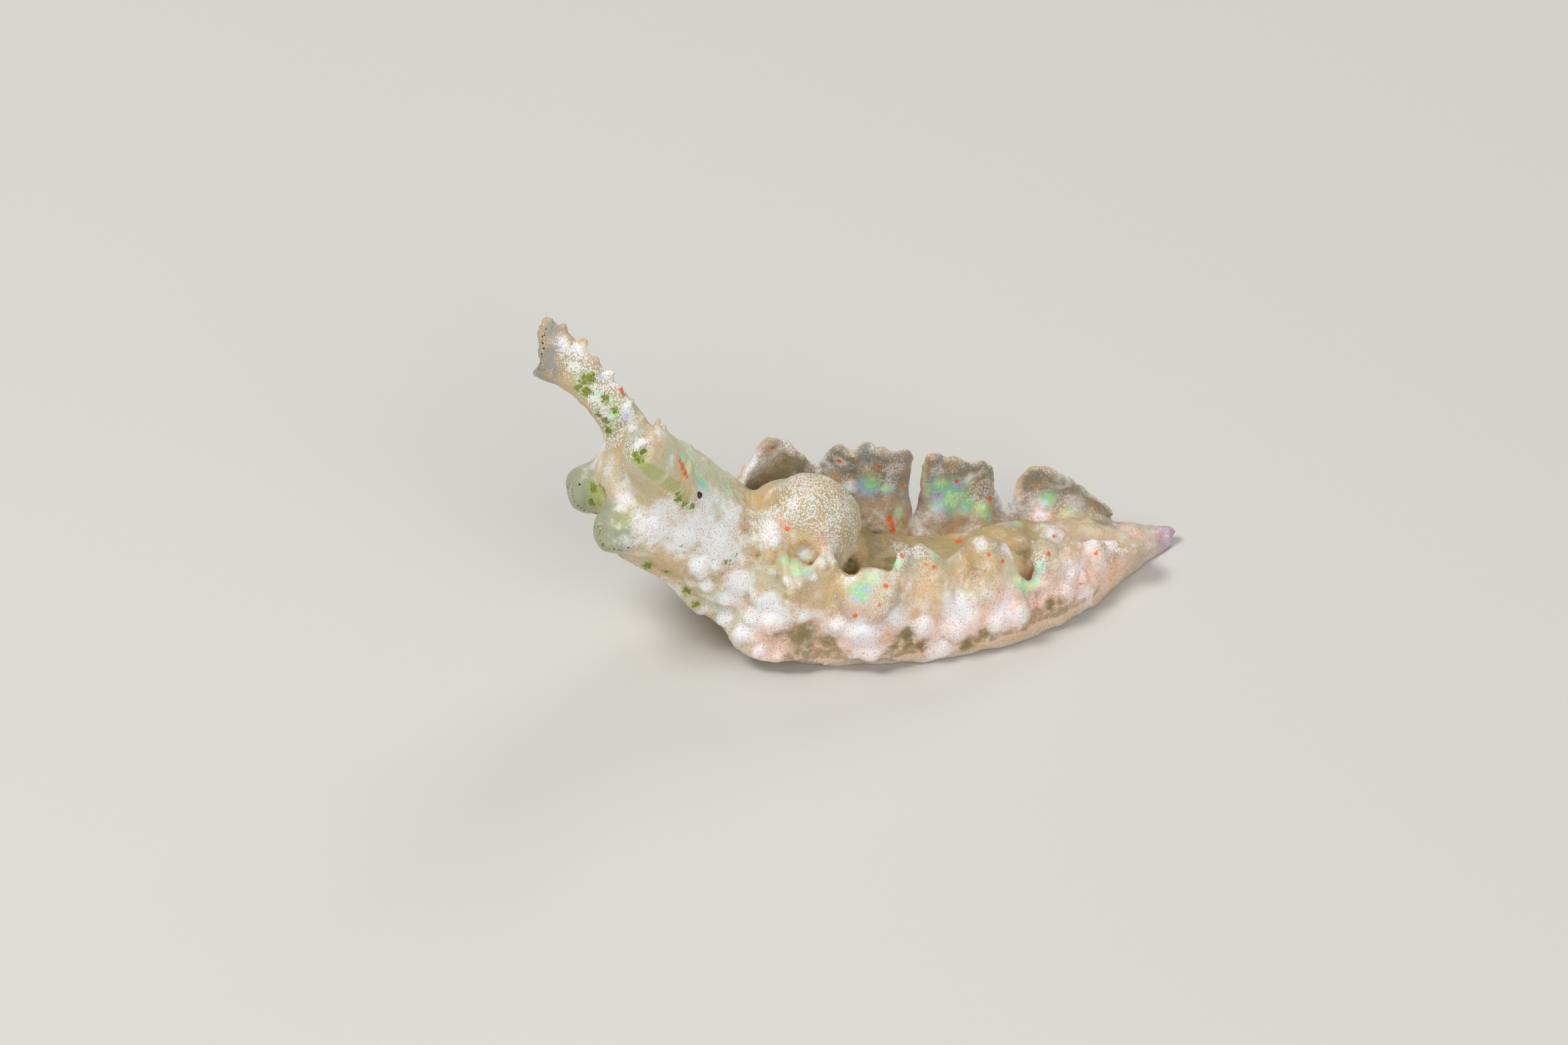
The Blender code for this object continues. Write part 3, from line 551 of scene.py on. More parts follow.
@dataclass
class Rhinophore:
    """A rolled feeler with a fish-tailed tip and a channel along its outer side."""

    plan: BodyPlan
    side: Side
    way: tuple[float, float, float]
    root: tuple[float, float, float] = (0.72, 0.60, 1.70)
    length: float = 2.40
    breadth: Keys = table((0.0, 0.52), (0.25, 0.44), (0.45, 0.42), (0.65, 0.46), (0.85, 0.58), (1.0, 0.70))
    depth: Keys = table((0.0, 0.40), (0.25, 0.32), (0.5, 0.21), (0.8, 0.13), (1.0, 0.075))
    curl: Keys = table((0.0, 0.0), (0.25, 0.05), (0.55, 0.26), (1.0, 0.34))
    bow: float = 0.20
    fork_deep: float = 0.22
    fork_slant: float = 0.26
    tip_round: float = 0.05
    rings: int = 72
    sides: int = 48

    @property
    def forked(self) -> bool:
        """Whether the tip spreads into a thin fork, as a short rounding leaves it."""
        return self.tip_round < 0.1

    def frame(self) -> tuple[np.ndarray, np.ndarray, np.ndarray, np.ndarray]:
        """The root and the unit directions along, across and outwards from the head."""
        _, left, _ = self.plan.section(self.root[0])
        upright = np.array([0.0, 0.0, 1.0])
        ahead = np.cross(left, upright)
        sign = self.side.value
        axis = unit(ahead * self.way[0] + left * sign * self.way[1] + upright * self.way[2])
        broad = unit(upright - axis * axis[2])
        outward = np.cross(axis, broad)
        if np.dot(outward, left * sign) < 0:
            outward = -outward
        return self.plan.place(self.root[0], sign * self.root[1], self.root[2]), axis, broad, outward

    def point(self, along: np.ndarray, turn: np.ndarray) -> np.ndarray:
        """Points on the feeler, 0 to 1 from root to tip, at angles from its upper edge."""
        along, turn = np.broadcast_arrays(np.asarray(along, float), np.asarray(turn, float))
        root, axis, broad, outward = self.frame()
        spread = np.maximum(0.0, along * 2 - 1)
        across = np.cos(turn)
        bow = self.bow * 4 * along * (1 - along)
        ahead_by = spread * (self.fork_deep * (np.abs(across) - 0.45) + self.fork_slant * across)
        curl = through(self.curl, along) * (across * across - 0.4)
        closing = np.clip((along - 1 + self.tip_round) / self.tip_round, 0.0, 1.0)
        full = np.sqrt(np.maximum(1 - closing ** 2, 0.0)) * 0.97 + 0.03
        narrowing = 0.4 * full + 0.6 if self.forked else full
        up = across * through(self.breadth, along) * narrowing + bow
        out = np.sin(turn) * through(self.depth, along) * full + curl
        reach = axis * (along * self.length + ahead_by)[..., None]
        return root + reach + broad * up[..., None] + outward * out[..., None]

    def build(self) -> bpy.types.Object:
        """Lofts the feeler from inside the head to its forked tip."""
        along = np.linspace(0.0, 1.0, self.rings)[:, None]
        along = 1 - (1 - along) ** 1.3
        turn = 2 * math.pi * np.arange(self.sides)[None, :] / self.sides
        return shaped_tube("rhinophore_" + self.side.name.lower(), self.point(along, turn))


@dataclass
class Lump:
    """A rounded lump set on the body: the hump over the heart or a lobe of the mouth."""

    plan: BodyPlan
    name: str
    back: float
    out: float
    up: float
    half: tuple[float, float, float]
    skirt: float = 0.0
    blunt: float = 0.0

    def build(self) -> bpy.types.Object:
        """Shapes a sphere to the lump's half sizes, its lower half widened to meet the body."""
        obj = new_ball(self.name, segments=48, rings=28)
        ball = read_points(obj.data)
        below = np.clip(-ball[:, 2], 0.0, 1.0)
        rim = np.maximum(np.hypot(ball[:, 0], ball[:, 1]), 1e-6)
        grown = rim + (np.maximum(rim, 0.98) - rim) * (below > 0) * self.skirt
        ball[:, :2] *= (grown / rim * (1 + 0.25 * self.skirt * below))[:, None]
        ball[:, 0] *= 1 + self.blunt * (1 - np.minimum(ball[:, 0] ** 2, 1))
        origin, left, rise = self.plan.section(self.back)
        ahead = np.cross(left, rise)
        middle = origin + self.plan.shift + self.out * left + self.up * rise
        local = ball * np.array(self.half)
        points = middle + local[:, :1] * ahead + local[:, 1:2] * left + local[:, 2:] * rise
        write_points(obj.data, points)
        return obj


@dataclass
class Papillae:
    """Small soft cones on the free edges, the head and the feelers, all copies of one."""

    sunk: float = 0.10
    pattern: bpy.types.Object | None = None

    def model(self) -> None:
        """Shapes one papilla: a ball drawn out into a blunt cone, one unit tall and wide."""
        self.pattern = new_ball("papilla", segments=12, rings=8)
        ball = read_points(self.pattern.data)
        rise = np.clip(ball[:, 2], 0.0, 1.0)
        ball[:, :2] *= (1 - 0.45 * rise)[:, None]
        write_points(self.pattern.data, ball)

    def copy(self, foot: np.ndarray, way: np.ndarray, radius: float, height: float) -> bpy.types.Object:
        """Sets one copy on the body.

        Args:
            foot: the point on the skin that it stands on.
            way: the direction it points.
            radius: its half width at the foot.
            height: how far it stands out.

        Returns:
            The copy, in place.
        """
        way = unit(np.asarray(way, float))
        helper = np.array([0.0, 0.0, 1.0]) if abs(way[2]) < 0.8 else np.array([1.0, 0.0, 0.0])
        across = unit(np.cross(way, helper))
        beside = np.cross(way, across)
        obj = link_new(self.pattern.name, self.pattern.data.copy())
        ball = read_points(obj.data)
        stand = np.where(ball[:, 2:] > 0, height, self.sunk)
        points = foot + ball[:, :1] * radius * across + ball[:, 1:2] * radius * beside
        write_points(obj.data, points + ball[:, 2:] * stand * way)
        return obj


@dataclass
class Camera:
    """The photo's viewpoint: angles in degrees, and where the model's origin falls in the photo."""

    azimuth: float = -18.0
    elevation: float = 38.0
    pixels_per_mm: float = 83.0
    frame_px: tuple[int, int] = (2352, 1568)
    origin_px: tuple[float, float] = (1309.0, 891.7)
    distance_mm: float = 400.0
    sensor_mm: float = 36.0
    clip: tuple[float, float] = (0.01, 20.0)

    def axes(self) -> Triple:
        """The unit directions right, up and back of the view."""
        a, e = math.radians(self.azimuth), math.radians(self.elevation)
        right = np.array([math.cos(a), math.sin(a), 0.0])
        up = np.array([-math.sin(a) * math.sin(e), math.cos(a) * math.sin(e), math.cos(e)])
        return right, up, np.cross(right, up)

    def target(self) -> np.ndarray:
        """The point, in millimetres, that lies at the middle of the frame."""
        right, up, _ = self.axes()
        across = (self.frame_px[0] / 2 - self.origin_px[0]) / self.pixels_per_mm
        rise = (self.origin_px[1] - self.frame_px[1] / 2) / self.pixels_per_mm
        return right * across + up * rise

    def eye(self) -> np.ndarray:
        """The camera's own place in millimetres."""
        return self.target() + self.axes()[2] * self.distance_mm

    def ray(self, x: float, y: float) -> np.ndarray:
        """The direction from the camera through a pixel of the photo."""
        right, up, _ = self.axes()
        across = (x - self.frame_px[0] / 2) / self.pixels_per_mm
        rise = (self.frame_px[1] / 2 - y) / self.pixels_per_mm
        return unit(self.target() + right * across + up * rise - self.eye())

    def build(self) -> None:
        """Adds the camera and makes it the scene's own."""
        data = bpy.data.cameras.new("camera")
        obj = link_new("camera", data)
        width = self.frame_px[0] / self.pixels_per_mm
        data.sensor_width = self.sensor_mm
        data.lens = self.sensor_mm * self.distance_mm / width
        data.clip_start, data.clip_end = self.clip
        obj.location = Vector(self.eye() * MM)
        obj.rotation_euler = Vector(self.axes()[2]).to_track_quat("Z", "Y").to_euler()
        bpy.context.scene.camera = obj


class Mark(Enum):
    """What a marking is made of, or the painted shade or painted sheen it stands for; the value is the name
    of the skin's attribute that holds it.
    """

    GREEN = "green"
    FROST = "frost"
    TAN = "tan"
    LUSTRE = "lustre"
    OLIVE = "olive"
    RED = "red"
    COOL = "cool"
    GRAIN = "grain"
    BLUSH = "blush"
    BAND = "band"

    @property
    def reach(self) -> float:
        """How many of its radii a marking's field reaches."""
        return {"red": 3.0, "green": 2.2}.get(self.value, 1.5)


MARKS_PX: dict[Mark, list[tuple[float, ...]]] = {
    Mark.GREEN: [
        (965, 677, 9), (954, 684, 9), (958, 690, 9), (1016, 742, 6), (1018, 749, 9), (1027, 756, 9),
        (1038, 760, 7), (878, 569, 11), (888, 566, 9), (867, 582, 8), (880, 588, 10), (908, 597, 9),
        (908, 632, 9), (898, 623, 7), (922, 616, 8), (912, 646, 9), (891, 732, 10), (906, 736, 7),
        (887, 754, 8), (900, 758, 16, 0.7), (972, 847, 9), (1000, 858, 7), (1031, 886, 9), (1044, 908, 8),
        (1024, 821, 8, 0.7), (1091, 843, 9, 0.8), (1105, 832, 7, 0.7), (1068, 869, 9, 0.7),
        (935, 790, 14, 0.5), (960, 775, 12, 0.5),
    ],
    Mark.FROST: [
        (985, 795, 46, 0.78), (1035, 800, 50, 0.84), (1082, 818, 50, 0.95), (1055, 855, 30, 0.70),
        (1105, 890, 34, 0.70), (1076, 808, 30), (1050, 847, 20), (1072, 845, 14), (1108, 876, 26),
        (1060, 765, 40, 0.66), (1095, 775, 30, 0.70), (1000, 760, 30, 0.60), (1085, 928, 18, 0.9),
        (1112, 952, 20, 0.9), (1140, 978, 16, 0.8), (1060, 880, 16, 0.8), (1166, 985, 13, 0.7),
        (1205, 925, 18, 0.7), (1035, 875, 12, 0.6), (1086, 900, 16), (1157, 915, 32, 1.0),
        (1128, 930, 24, 1.0), (1150, 790, 36, 0.50), (940, 745, 30, 0.42), (915, 700, 18, 0.40),
        (1010, 880, 20, 0.40), (1060, 900, 22, 0.45), (926, 789, 16, 0.30), (944, 803, 16, 0.35),
        (1158, 860, 8, 0.5), (1178, 873, 9, 0.5), (1200, 878, 9, 0.5), (1220, 869, 8, 0.5),
        (842, 512, 12, 0.55), (868, 524, 14, 0.55), (915, 556, 12, 0.5), (893, 596, 12, 0.5),
        (938, 610, 11, 0.5), (915, 622, 14, 0.35), (948, 640, 14, 0.5), (862, 545, 10, 0.4),
        (1208, 832, 16, 0.45), (1008, 690, 18, 0.45), (1032, 702, 16, 0.4), (1720, 812, 16, 0.35),
        (1745, 802, 14, 0.3), (1650, 850, 20, 0.55), (1682, 836, 16, 0.5), (1620, 852, 20, 0.55),
        (1665, 815, 18, 0.45), (1700, 815, 14, 0.35), (1600, 882, 20, 0.6), (1288, 956, 32),
        (1303, 981, 26), (1387, 944, 20), (1250, 945, 22, 0.9), (1530, 925, 24), (1437, 921, 34, 0.95),
        (1433, 950, 22), (1506, 931, 28), (1414, 975, 22), (1345, 930, 22, 0.85), (1370, 905, 40, 0.25),
        (1330, 915, 30, 0.30), (1460, 890, 40, 0.24), (1550, 890, 32, 0.32), (1610, 860, 34, 0.60),
        (1630, 890, 20, 0.75), (1575, 800, 26, 0.55), (1640, 820, 26, 0.45), (1180, 905, 30, 0.12),
        (1225, 925, 24, 0.40), (1200, 870, 20, 0.30), (1240, 835, 18, 0.40), (1405, 780, 22, 0.55),
        (1340, 785, 16, 0.40), (1445, 800, 16, 0.40), (1520, 905, 22, 0.45), (1260, 690, 12, 0.5),
        (1275, 730, 12, 0.5), (1300, 700, 12, 0.4), (1410, 705, 14, 0.5), (1455, 715, 14, 0.5),
        (1590, 730, 18, 0.6), (1620, 760, 18, 0.5), (1160, 680, 14, 0.5),
    ],
    Mark.COOL: [
        (1085, 722, 34), (1050, 700, 24, 0.9), (1005, 688, 20, 0.7), (1030, 678, 20, 0.7),
        (1022, 664, 16, 0.6), (1065, 750, 26, 0.8), (1020, 680, 18, 0.5), (928, 800, 24, 0.8),
        (880, 742, 20, 0.8), (1005, 725, 16, 0.6), (860, 530, 16, 0.4), (915, 600, 34, 0.9),
        (893, 575, 32, 0.9), (870, 545, 24, 0.7), (936, 628, 26, 0.8), (1300, 735, 26, 0.5),
        (1440, 760, 26, 0.5), (1345, 850, 26, 0.4), (1480, 830, 22, 0.3),
    ],
    Mark.GRAIN: [
        (1213, 742, 46), (1190, 722, 28), (1240, 765, 34, 0.9), (1250, 795, 24, 0.6), (1225, 715, 24, 0.9),
        (1140, 785, 30, 0.5), (1165, 760, 20, 0.5), (1350, 820, 16, 0.7), (1375, 830, 16, 0.6),
        (1340, 705, 20, 0.6), (1470, 735, 22, 0.6), (920, 650, 26, 0.8), (915, 590, 34, 0.9),
        (1590, 755, 24, 0.5), (1180, 665, 18, 0.5), (890, 570, 30, 0.9), (865, 545, 24, 0.8),
        (930, 620, 28, 0.9), (905, 615, 24, 0.9), (850, 525, 16, 0.7),
    ],
    Mark.BLUSH: [
        (1140, 940, 34), (1200, 935, 34), (1290, 930, 34), (1285, 960, 24), (1340, 945, 24),
        (1360, 880, 40, 0.35), (1420, 880, 40, 0.35), (1480, 880, 34, 0.3), (1160, 790, 30, 0.45),
        (1240, 800, 26, 0.5), (1540, 880, 30, 0.5), (1590, 840, 30, 0.5), (975, 660, 18, 0.45),
        (1390, 950, 24), (1440, 935, 34), (1510, 915, 40), (1560, 890, 34), (1610, 870, 34),
        (1640, 850, 34), (1300, 985, 24), (1410, 980, 20), (1230, 975, 16, 0.8), (1170, 965, 18, 0.8),
        (1095, 905, 22, 0.7), (1045, 850, 18, 0.5), (930, 745, 28, 0.45), (930, 838, 14, 0.8),
        (1320, 870, 26, 0.4), (1500, 870, 30, 0.4), (1700, 800, 24, 0.8), (1250, 680, 16, 0.5),
        (1320, 690, 16, 0.5), (1380, 715, 14, 0.7), (1150, 675, 16, 0.7), (1560, 740, 16, 0.6),
        (1600, 800, 24, 0.5), (1225, 885, 20, 0.3), (1180, 790, 20, 0.3),
    ],
    Mark.BAND: [
        (966, 700, 9), (976, 706, 13), (988, 715, 14), (1000, 724, 14), (1012, 732, 13), (1022, 740, 12),
        (1032, 750, 10), (893, 748, 14, 0.8), (903, 752, 14), (898, 735, 10, 0.7), (925, 790, 10, 0.6),
        (945, 775, 10, 0.6), (962, 768, 10, 0.6), (1025, 820, 12, 0.6),
    ],
    # Tan painted shade: in the valley between the hump and the neck, along the near flap's crests, in the dip
    # between its lobes, and in the pockets and spout openings
    Mark.TAN: [
        (1150, 745, 30, 1.2), (1130, 790, 22), (1125, 830, 16), (1140, 715, 20), (1372, 792, 30),
        (1430, 800, 26), (1500, 800, 26), (1270, 800, 22), (1280, 845, 18), (1540, 850, 16),
        (1455, 850, 22, 0.9), (1400, 855, 18, 0.5), (955, 655, 18, 0.6), (1290, 760, 26, 0.8),
        (1180, 908, 28, 1.0), (1470, 765, 22, 0.8), (1335, 780, 20, 0.5), (1195, 848, 14, 0.6),
    ],
    # Painted iridescent sheen: pearly, rainbow-like patches on the rolled lips, the flaps and the head
    Mark.LUSTRE: [
        (1180, 842, 11, 0.65), (1192, 852, 14, 0.7), (1208, 856, 11, 0.6), (1222, 842, 8, 0.6),
        (1208, 834, 12, 0.4), (1290, 888, 18, 0.8), (1308, 868, 13, 0.6), (1528, 873, 10, 0.8),
        (1540, 880, 13, 1.0), (1552, 873, 10, 0.8), (1560, 852, 10, 0.7), (1303, 726, 20, 0.8),
        (1330, 733, 9, 0.9), (1425, 744, 30), (1407, 730, 18), (1450, 757, 16, 0.8), (1472, 765, 13),
        (1483, 776, 8, 0.9), (1573, 747, 14, 0.9), (1600, 772, 13, 0.6), (1345, 845, 9, 0.7),
        (1403, 830, 10, 0.7), (1025, 686, 10, 1.0), (1034, 700, 12, 1.1), (1046, 715, 15, 1.3),
        (1037, 697, 11, 1.0), (1054, 727, 10, 1.0), (902, 566, 5, 0.8), (898, 592, 5, 0.9),
        (920, 621, 7, 0.9), (939, 625, 6, 0.9), (915, 600, 5, 0.7), (1764, 806, 16, 0.8),
        (1237, 838, 6, 0.6), (1522, 786, 14, 0.5), (1348, 772, 9, 0.6),
    ],
    # Olive-dark painted shade in the dip between the near flap's lobes, in the pockets behind the lips and in
    # the spout openings; lower down, olive-dark patches along the flanks
    Mark.OLIVE: [
        (1200, 952, 30, 0.9), (1165, 950, 16, 0.6), (1240, 960, 18, 0.8), (1215, 970, 14, 0.7),
        (1362, 950, 22, 0.9), (1385, 965, 15, 0.8), (1345, 965, 12, 0.6), (1448, 970, 14, 0.9),
        (1475, 948, 13, 0.7), (1575, 905, 12), (1592, 902, 11, 0.9), (1540, 925, 10, 0.5),
        (1120, 890, 12, 0.5), (1060, 915, 12, 0.5), (1095, 838, 12, 0.6), (1022, 826, 11, 0.6),
        (1118, 752, 9, 0.5), (1119, 775, 10, 0.55), (1118, 798, 10, 0.55), (1117, 822, 10, 0.5),
        (1036, 872, 10, 0.5), (1080, 862, 8, 0.4), (1462, 855, 28, 0.50), (1276, 851, 17, 1.3),
        (1536, 832, 12, 0.7), (1310, 800, 18, 0.6), (1296, 780, 14, 0.5), (1135, 835, 10, 0.5),
    ],
    Mark.RED: [
        (1181, 793, 5), (1216, 845, 4), (1283, 924, 5), (1024, 700, 7), (1028, 710, 7), (1031, 716, 5),
        (1020, 692, 5), (932, 585, 5), (936, 592, 4), (1334, 778, 6), (1337, 786, 5), (1339, 795, 6),
        (1438, 812, 6), (1435, 722, 5), (1485, 748, 5), (1353, 834, 5), (1329, 879, 5), (1319, 908, 4),
        (1483, 832, 4), (1504, 842, 4), (1573, 831, 5), (1581, 805, 4), (1644, 830, 4), (1543, 887, 3),
        (1259, 692, 5), (1319, 700, 5), (1353, 728, 4), (1401, 851, 4), (1389, 847, 3), (1621, 876, 3),
        (1160, 672, 5), (1112, 800, 3), (1470, 735, 3), (1408, 742, 3), (1517, 812, 3),
    ],
}
# Warts the photo shows: middle, radius and height, in the photo's pixels
WARTS_PX = [
    (1048, 850, 20, 11), (1073, 848, 13, 9), (1108, 874, 26, 10), (1088, 900, 16, 9), (1153, 940, 22, 8),
    (1124, 927, 16, 8), (1291, 950, 29, 10), (1255, 940, 16, 8), (1343, 938, 13, 7), (1387, 940, 20, 8),
    (1437, 945, 24, 9), (1530, 922, 28, 10), (1497, 935, 22, 8), (1600, 888, 24, 9), (1640, 868, 18, 9),
    (1303, 980, 20, 7), (1414, 974, 18, 7), (1560, 905, 16, 7), (1078, 810, 30, 9), (1030, 802, 22, 6),
    (1045, 768, 20, 5), (988, 790, 20, 5), (1010, 775, 16, 4), (1022, 838, 12, 5), (1010, 868, 10, 4),
    (1215, 905, 22, 6), (1180, 895, 18, 5), (1400, 900, 26, 6), (1460, 890, 24, 6), (1345, 890, 22, 5),
    (1560, 870, 20, 6), (1605, 840, 18, 5), (1650, 800, 12, 5), (1130, 960, 12, 5), (1190, 970, 10, 4),
    (1250, 985, 12, 4), (1350, 980, 12, 4), (1480, 962, 12, 4), (1680, 845, 14, 5), (1700, 820, 10, 4),
    (1625, 868, 12, 6), (1668, 850, 11, 5), (1648, 838, 10, 5), (1610, 862, 12, 5), (1155, 836, 10, 5),
    (1161, 856, 10, 5), (1178, 870, 10, 5), (1198, 875, 10, 5), (1218, 866, 9, 5), (1234, 846, 9, 5),
    (1065, 780, 10, 3), (1095, 790, 11, 3), (1088, 835, 9, 4), (1115, 845, 9, 4), (1040, 800, 10, 3),
    (980, 800, 9, 3), (1045, 905, 10, 4), (1085, 928, 15, 8), (1112, 952, 17, 9), (1098, 972, 12, 6),
    (1140, 978, 13, 6), (1066, 915, 12, 6), (1060, 880, 14, 7), (1035, 875, 10, 5), (1165, 985, 11, 4),
    (1205, 925, 14, 6), (1010, 850, 10, 4),
]
# Dents: the pockets behind the rolled lips, and the dimple in the near feeler's end
DENTS_PX = [
    (1277, 853, 17, 24), (1208, 828, 20, 9), (967, 677, 14, 9), (1275, 845, 10, 8), (1132, 760, 12, 4),
    (1128, 800, 10, 5),
]


# How near two spots of a band lie, in millimetres, to have one more between them
CLOSE = 0.35
# The skin's regions, each where all its measures hold: the measure, where it counts 0, and where 1.
# Back, out, aside, up and height are millimetres; share is how far up a flap a point lies; outward and
# upward are how much the skin faces that way; width is in half widths of the foot and radii in the hump's.
REGIONS: dict[str, list[tuple[str, float, float]]] = {
    "flap_top": [("share", 0.30, 0.55), ("back", 2.9, 3.5)],
    "feeler_foot": [("back", 1.9, 1.2), ("up", 2.35, 2.7), ("out", 0.2, -0.2)],
    "shoulders": [("back", 1.8, 2.6), ("back", 4.4, 3.6), ("up", 1.5, 0.9)],
    "low": [("up", 2.0, 1.1)],
    "ridge": [("back", 5.0, 5.6), ("aside", 0.8, 0.4), ("back", 10.0, 9.0)],
    "off_sole": [("height", 0.10, 0.4)],
    "off_floor": [("height", 0.02, 0.2)],
    "snout": [("back", 0.5, 0.25)],
    "hump_shell": [("radii", 1.05, 0.85), ("up", 1.8, 2.5)],
    "hump_rear": [("back", 4.7, 5.1)],
    "hump_far": [("out", 0.0, -0.3)],
    "pink": [("back", 2.7, 3.5), ("outward", 0.0, 0.5), ("up", 1.35, 0.55), ("up", 0.12, 0.3)],
    "trough": [
        ("back", 2.7, 3.5), ("upward", 0.3, 0.8), ("aside", 0.9, 0.6), ("share", 0.2, 0.0),
        ("back", 4.9, 5.5), ("back", 10.0, 9.2),
    ],
    "wall": [("share", 0.05, 0.3), ("back", 2.7, 3.5), ("outward", 0.3, -0.2)],
    "front_pocket": [("out", 0.6, 0.9)],
    "front_lobe": [("back", 4.6, 3.9), ("out", -0.5, -0.8)],
    "before_tail": [("back", 10.3, 9.6)],
    "edge": [("share", 0.62, 1.0)],
    "near_edge": [("back", 4.6, 5.0)],
    "thin": [("share", 0.10, 0.65)],
    "thinner": [("back", 3.9, 4.7)],
    "tail": [("back", 10.2, 10.9)],
    "brim": [("width", 0.88, 0.98), ("up", 0.22, 0.10)],
    "channel": [
        ("up", 0.20, 0.34), ("up", 0.78, 0.5), ("back", 3.2, 4.2), ("back", 9.8, 9.2), ("aside", 0.9, 1.1),
    ],
    "lilac": [("back", 11.0, 11.5)],
}


def region(name: str, measures: dict[str, np.ndarray]) -> np.ndarray:
    """How far each point lies in a region, from 0 to 1."""
    return math.prod(ease(measures[measure], none, full) for measure, none, full in REGIONS[name])


@dataclass
class Skin:
    """The slug's whole flesh as one surface, in millimetres until it is finished."""

    plan: BodyPlan
    camera: Camera
    core: CoreBody
    foot: Foot
    flaps: list[Flap]
    rhinophores: list[Rhinophore]
    lumps: list[Lump]
    voxel: float = 0.048
    mouth_up: float = 1.02
    soften_rounds: int = 36
    flap_pimples: int = 170
    head_pimples: int = 230
    rim_reach: float = 0.13
    seed: int = 11
    obj: bpy.types.Object | None = None

    def build(self) -> bpy.types.Object:
        """Shapes every region, makes one surface of them and works the relief into it."""
        regions = [self.core.build(), self.foot.build()]
        regions += [flap.build() for flap in self.flaps]
        regions += [rhinophore.build() for rhinophore in self.rhinophores]
        regions += [lump.build() for lump in self.lumps]
        regions += self.papillae()
        bpy.ops.object.select_all(action="DESELECT")
        for piece in regions:
            piece.select_set(True)
        bpy.context.view_layer.objects.active = regions[0]
        bpy.ops.object.join()
        self.obj = bpy.context.object
        self.obj.name = "skin"
        self.obj.data.name = "skin"
        apply_modifier(self.obj, "REMESH", mode="VOXEL", voxel_size=self.voxel, use_smooth_shade=True)
        apply_modifier(self.obj, "SMOOTH", factor=0.5, iterations=3)
        self.keep_largest()
        self.soften_creases()
        log.info("skin surface: %d points", len(self.obj.data.vertices))
        self.raise_warts()
        self.rest_on_floor()
        self.mark()
        return self.obj

    def keep_largest(self) -> None:
        """Drops any loose scrap that the remesh left."""
        select_only(self.obj)
        mesh = self.obj.data
        shape = bmesh.new()
        shape.from_mesh(mesh)
        shape.verts.ensure_lookup_table()
        seen = np.zeros(len(shape.verts), bool)
        groups = []
        for vert in shape.verts:
            if seen[vert.index]:
                continue
            seen[vert.index] = True
            group = [vert]
            for member in group:
                for edge in member.link_edges:
                    other = edge.other_vert(member)
                    if not seen[other.index]:
                        seen[other.index] = True
                        group.append(other)
            groups.append(group)
        groups.sort(key=len)
        loose = [vert for group in groups[:-1] for vert in group]
        bmesh.ops.delete(shape, geom=loose, context="VERTS")
        shape.to_mesh(mesh)
        shape.free()

    def soften_creases(self) -> None:
        """Fills the hollows where regions meet, and leaves the bulges as they are."""
        mesh = self.obj.data
        points = read_points(mesh)
        ends = np.empty(len(mesh.edges) * 2, np.int64)
        mesh.edges.foreach_get("vertices", ends)
        one, other = ends.reshape(-1, 2).T
        count = np.bincount(ends, minlength=len(points))[:, None]
        measures = self.measures(points)
        measures["share"] = self.flap_shares(points)[0]
        kept_flap, kept_feeler = region("flap_top", measures), region("feeler_foot", measures)
        hollows = (1 - 0.92 * kept_flap) * (1 - 0.75 * kept_feeler) * 0.7
        bulges = 0.5 * region("shoulders", measures)
        for number in range(self.soften_rounds):
            if number % 4 == 0:
                write_points(mesh, points)
                normals = read_normals(mesh)
            sums = [
                np.bincount(one, points[other, axis], len(points))
                + np.bincount(other, points[one, axis], len(points))
                for axis in range(3)
            ]
            pull = np.stack(sums, axis=1) / count - points
            rising = np.sum(pull * normals, axis=1) > 0
            points = points + pull * np.where(rising, hollows, bulges)[:, None]
        write_points(mesh, points)

    def papillae(self) -> list[bpy.types.Object]:
        """The papillae on the flaps' free edges, on the head and on the feelers."""
        draw = random.Random(self.seed)
        maker = Papillae()
        maker.model()
        made = []
        for flap in self.flaps:
            back = flap.start + 0.35
            while back < flap.end - 0.2:
                size = draw.uniform(0.5, 1.2)
                edge, below = flap.point(back, 1.0), flap.point(back, 0.9)
                sway = np.array([draw.uniform(-0.35, 0.35) for _ in range(3)])
                made.append(maker.copy(edge, unit(edge - below) + sway, 0.045 + 0.020 * size, 0.10 * size))
                back += draw.uniform(0.11, 0.26)
        for rhinophore in self.rhinophores:
            for along, radius, height in RHINO_PAPILLAE:
                foot = rhinophore.point(np.array(along), np.array(0.0))
                inner = rhinophore.point(np.array(along), np.array(math.pi))
                made.append(maker.copy(foot, foot - inner, radius, height))
        for back, way, radius, height in LEFT_FLAP_PAPILLAE:
            made.append(maker.copy(self.flaps[0].point(back, 1.0), np.array(way), radius, height))
        back, turn, way, radius, height = CROWN_PAPILLA
        foot = self.plan.place(back, *self.plan.core_point(back, turn))
        made.append(maker.copy(foot, np.array(way), radius, height))
        bpy.data.objects.remove(maker.pattern)
        return made

    def surface_tree(self) -> BVHTree:
        """A search tree over the skin's faces."""
        depsgraph = bpy.context.evaluated_depsgraph_get()
        return BVHTree.FromObject(self.obj, depsgraph)

    def find(self, tree: BVHTree, x: float, y: float) -> np.ndarray | None:
        """The point on the skin that the photo shows at this pixel."""
        hit = tree.ray_cast(Vector(self.camera.eye()), Vector(self.camera.ray(x, y)))
        return None if hit[0] is None else np.array(hit[0])

    def mirrored(self, tree: BVHTree, spot: np.ndarray) -> np.ndarray:
        """The place on the other side of the body that matches this one."""
        back, out, up = self.locate(spot[None])
        other = self.plan.place(back, -out, up)[0]
        return np.array(tree.find_nearest(Vector(other))[0])

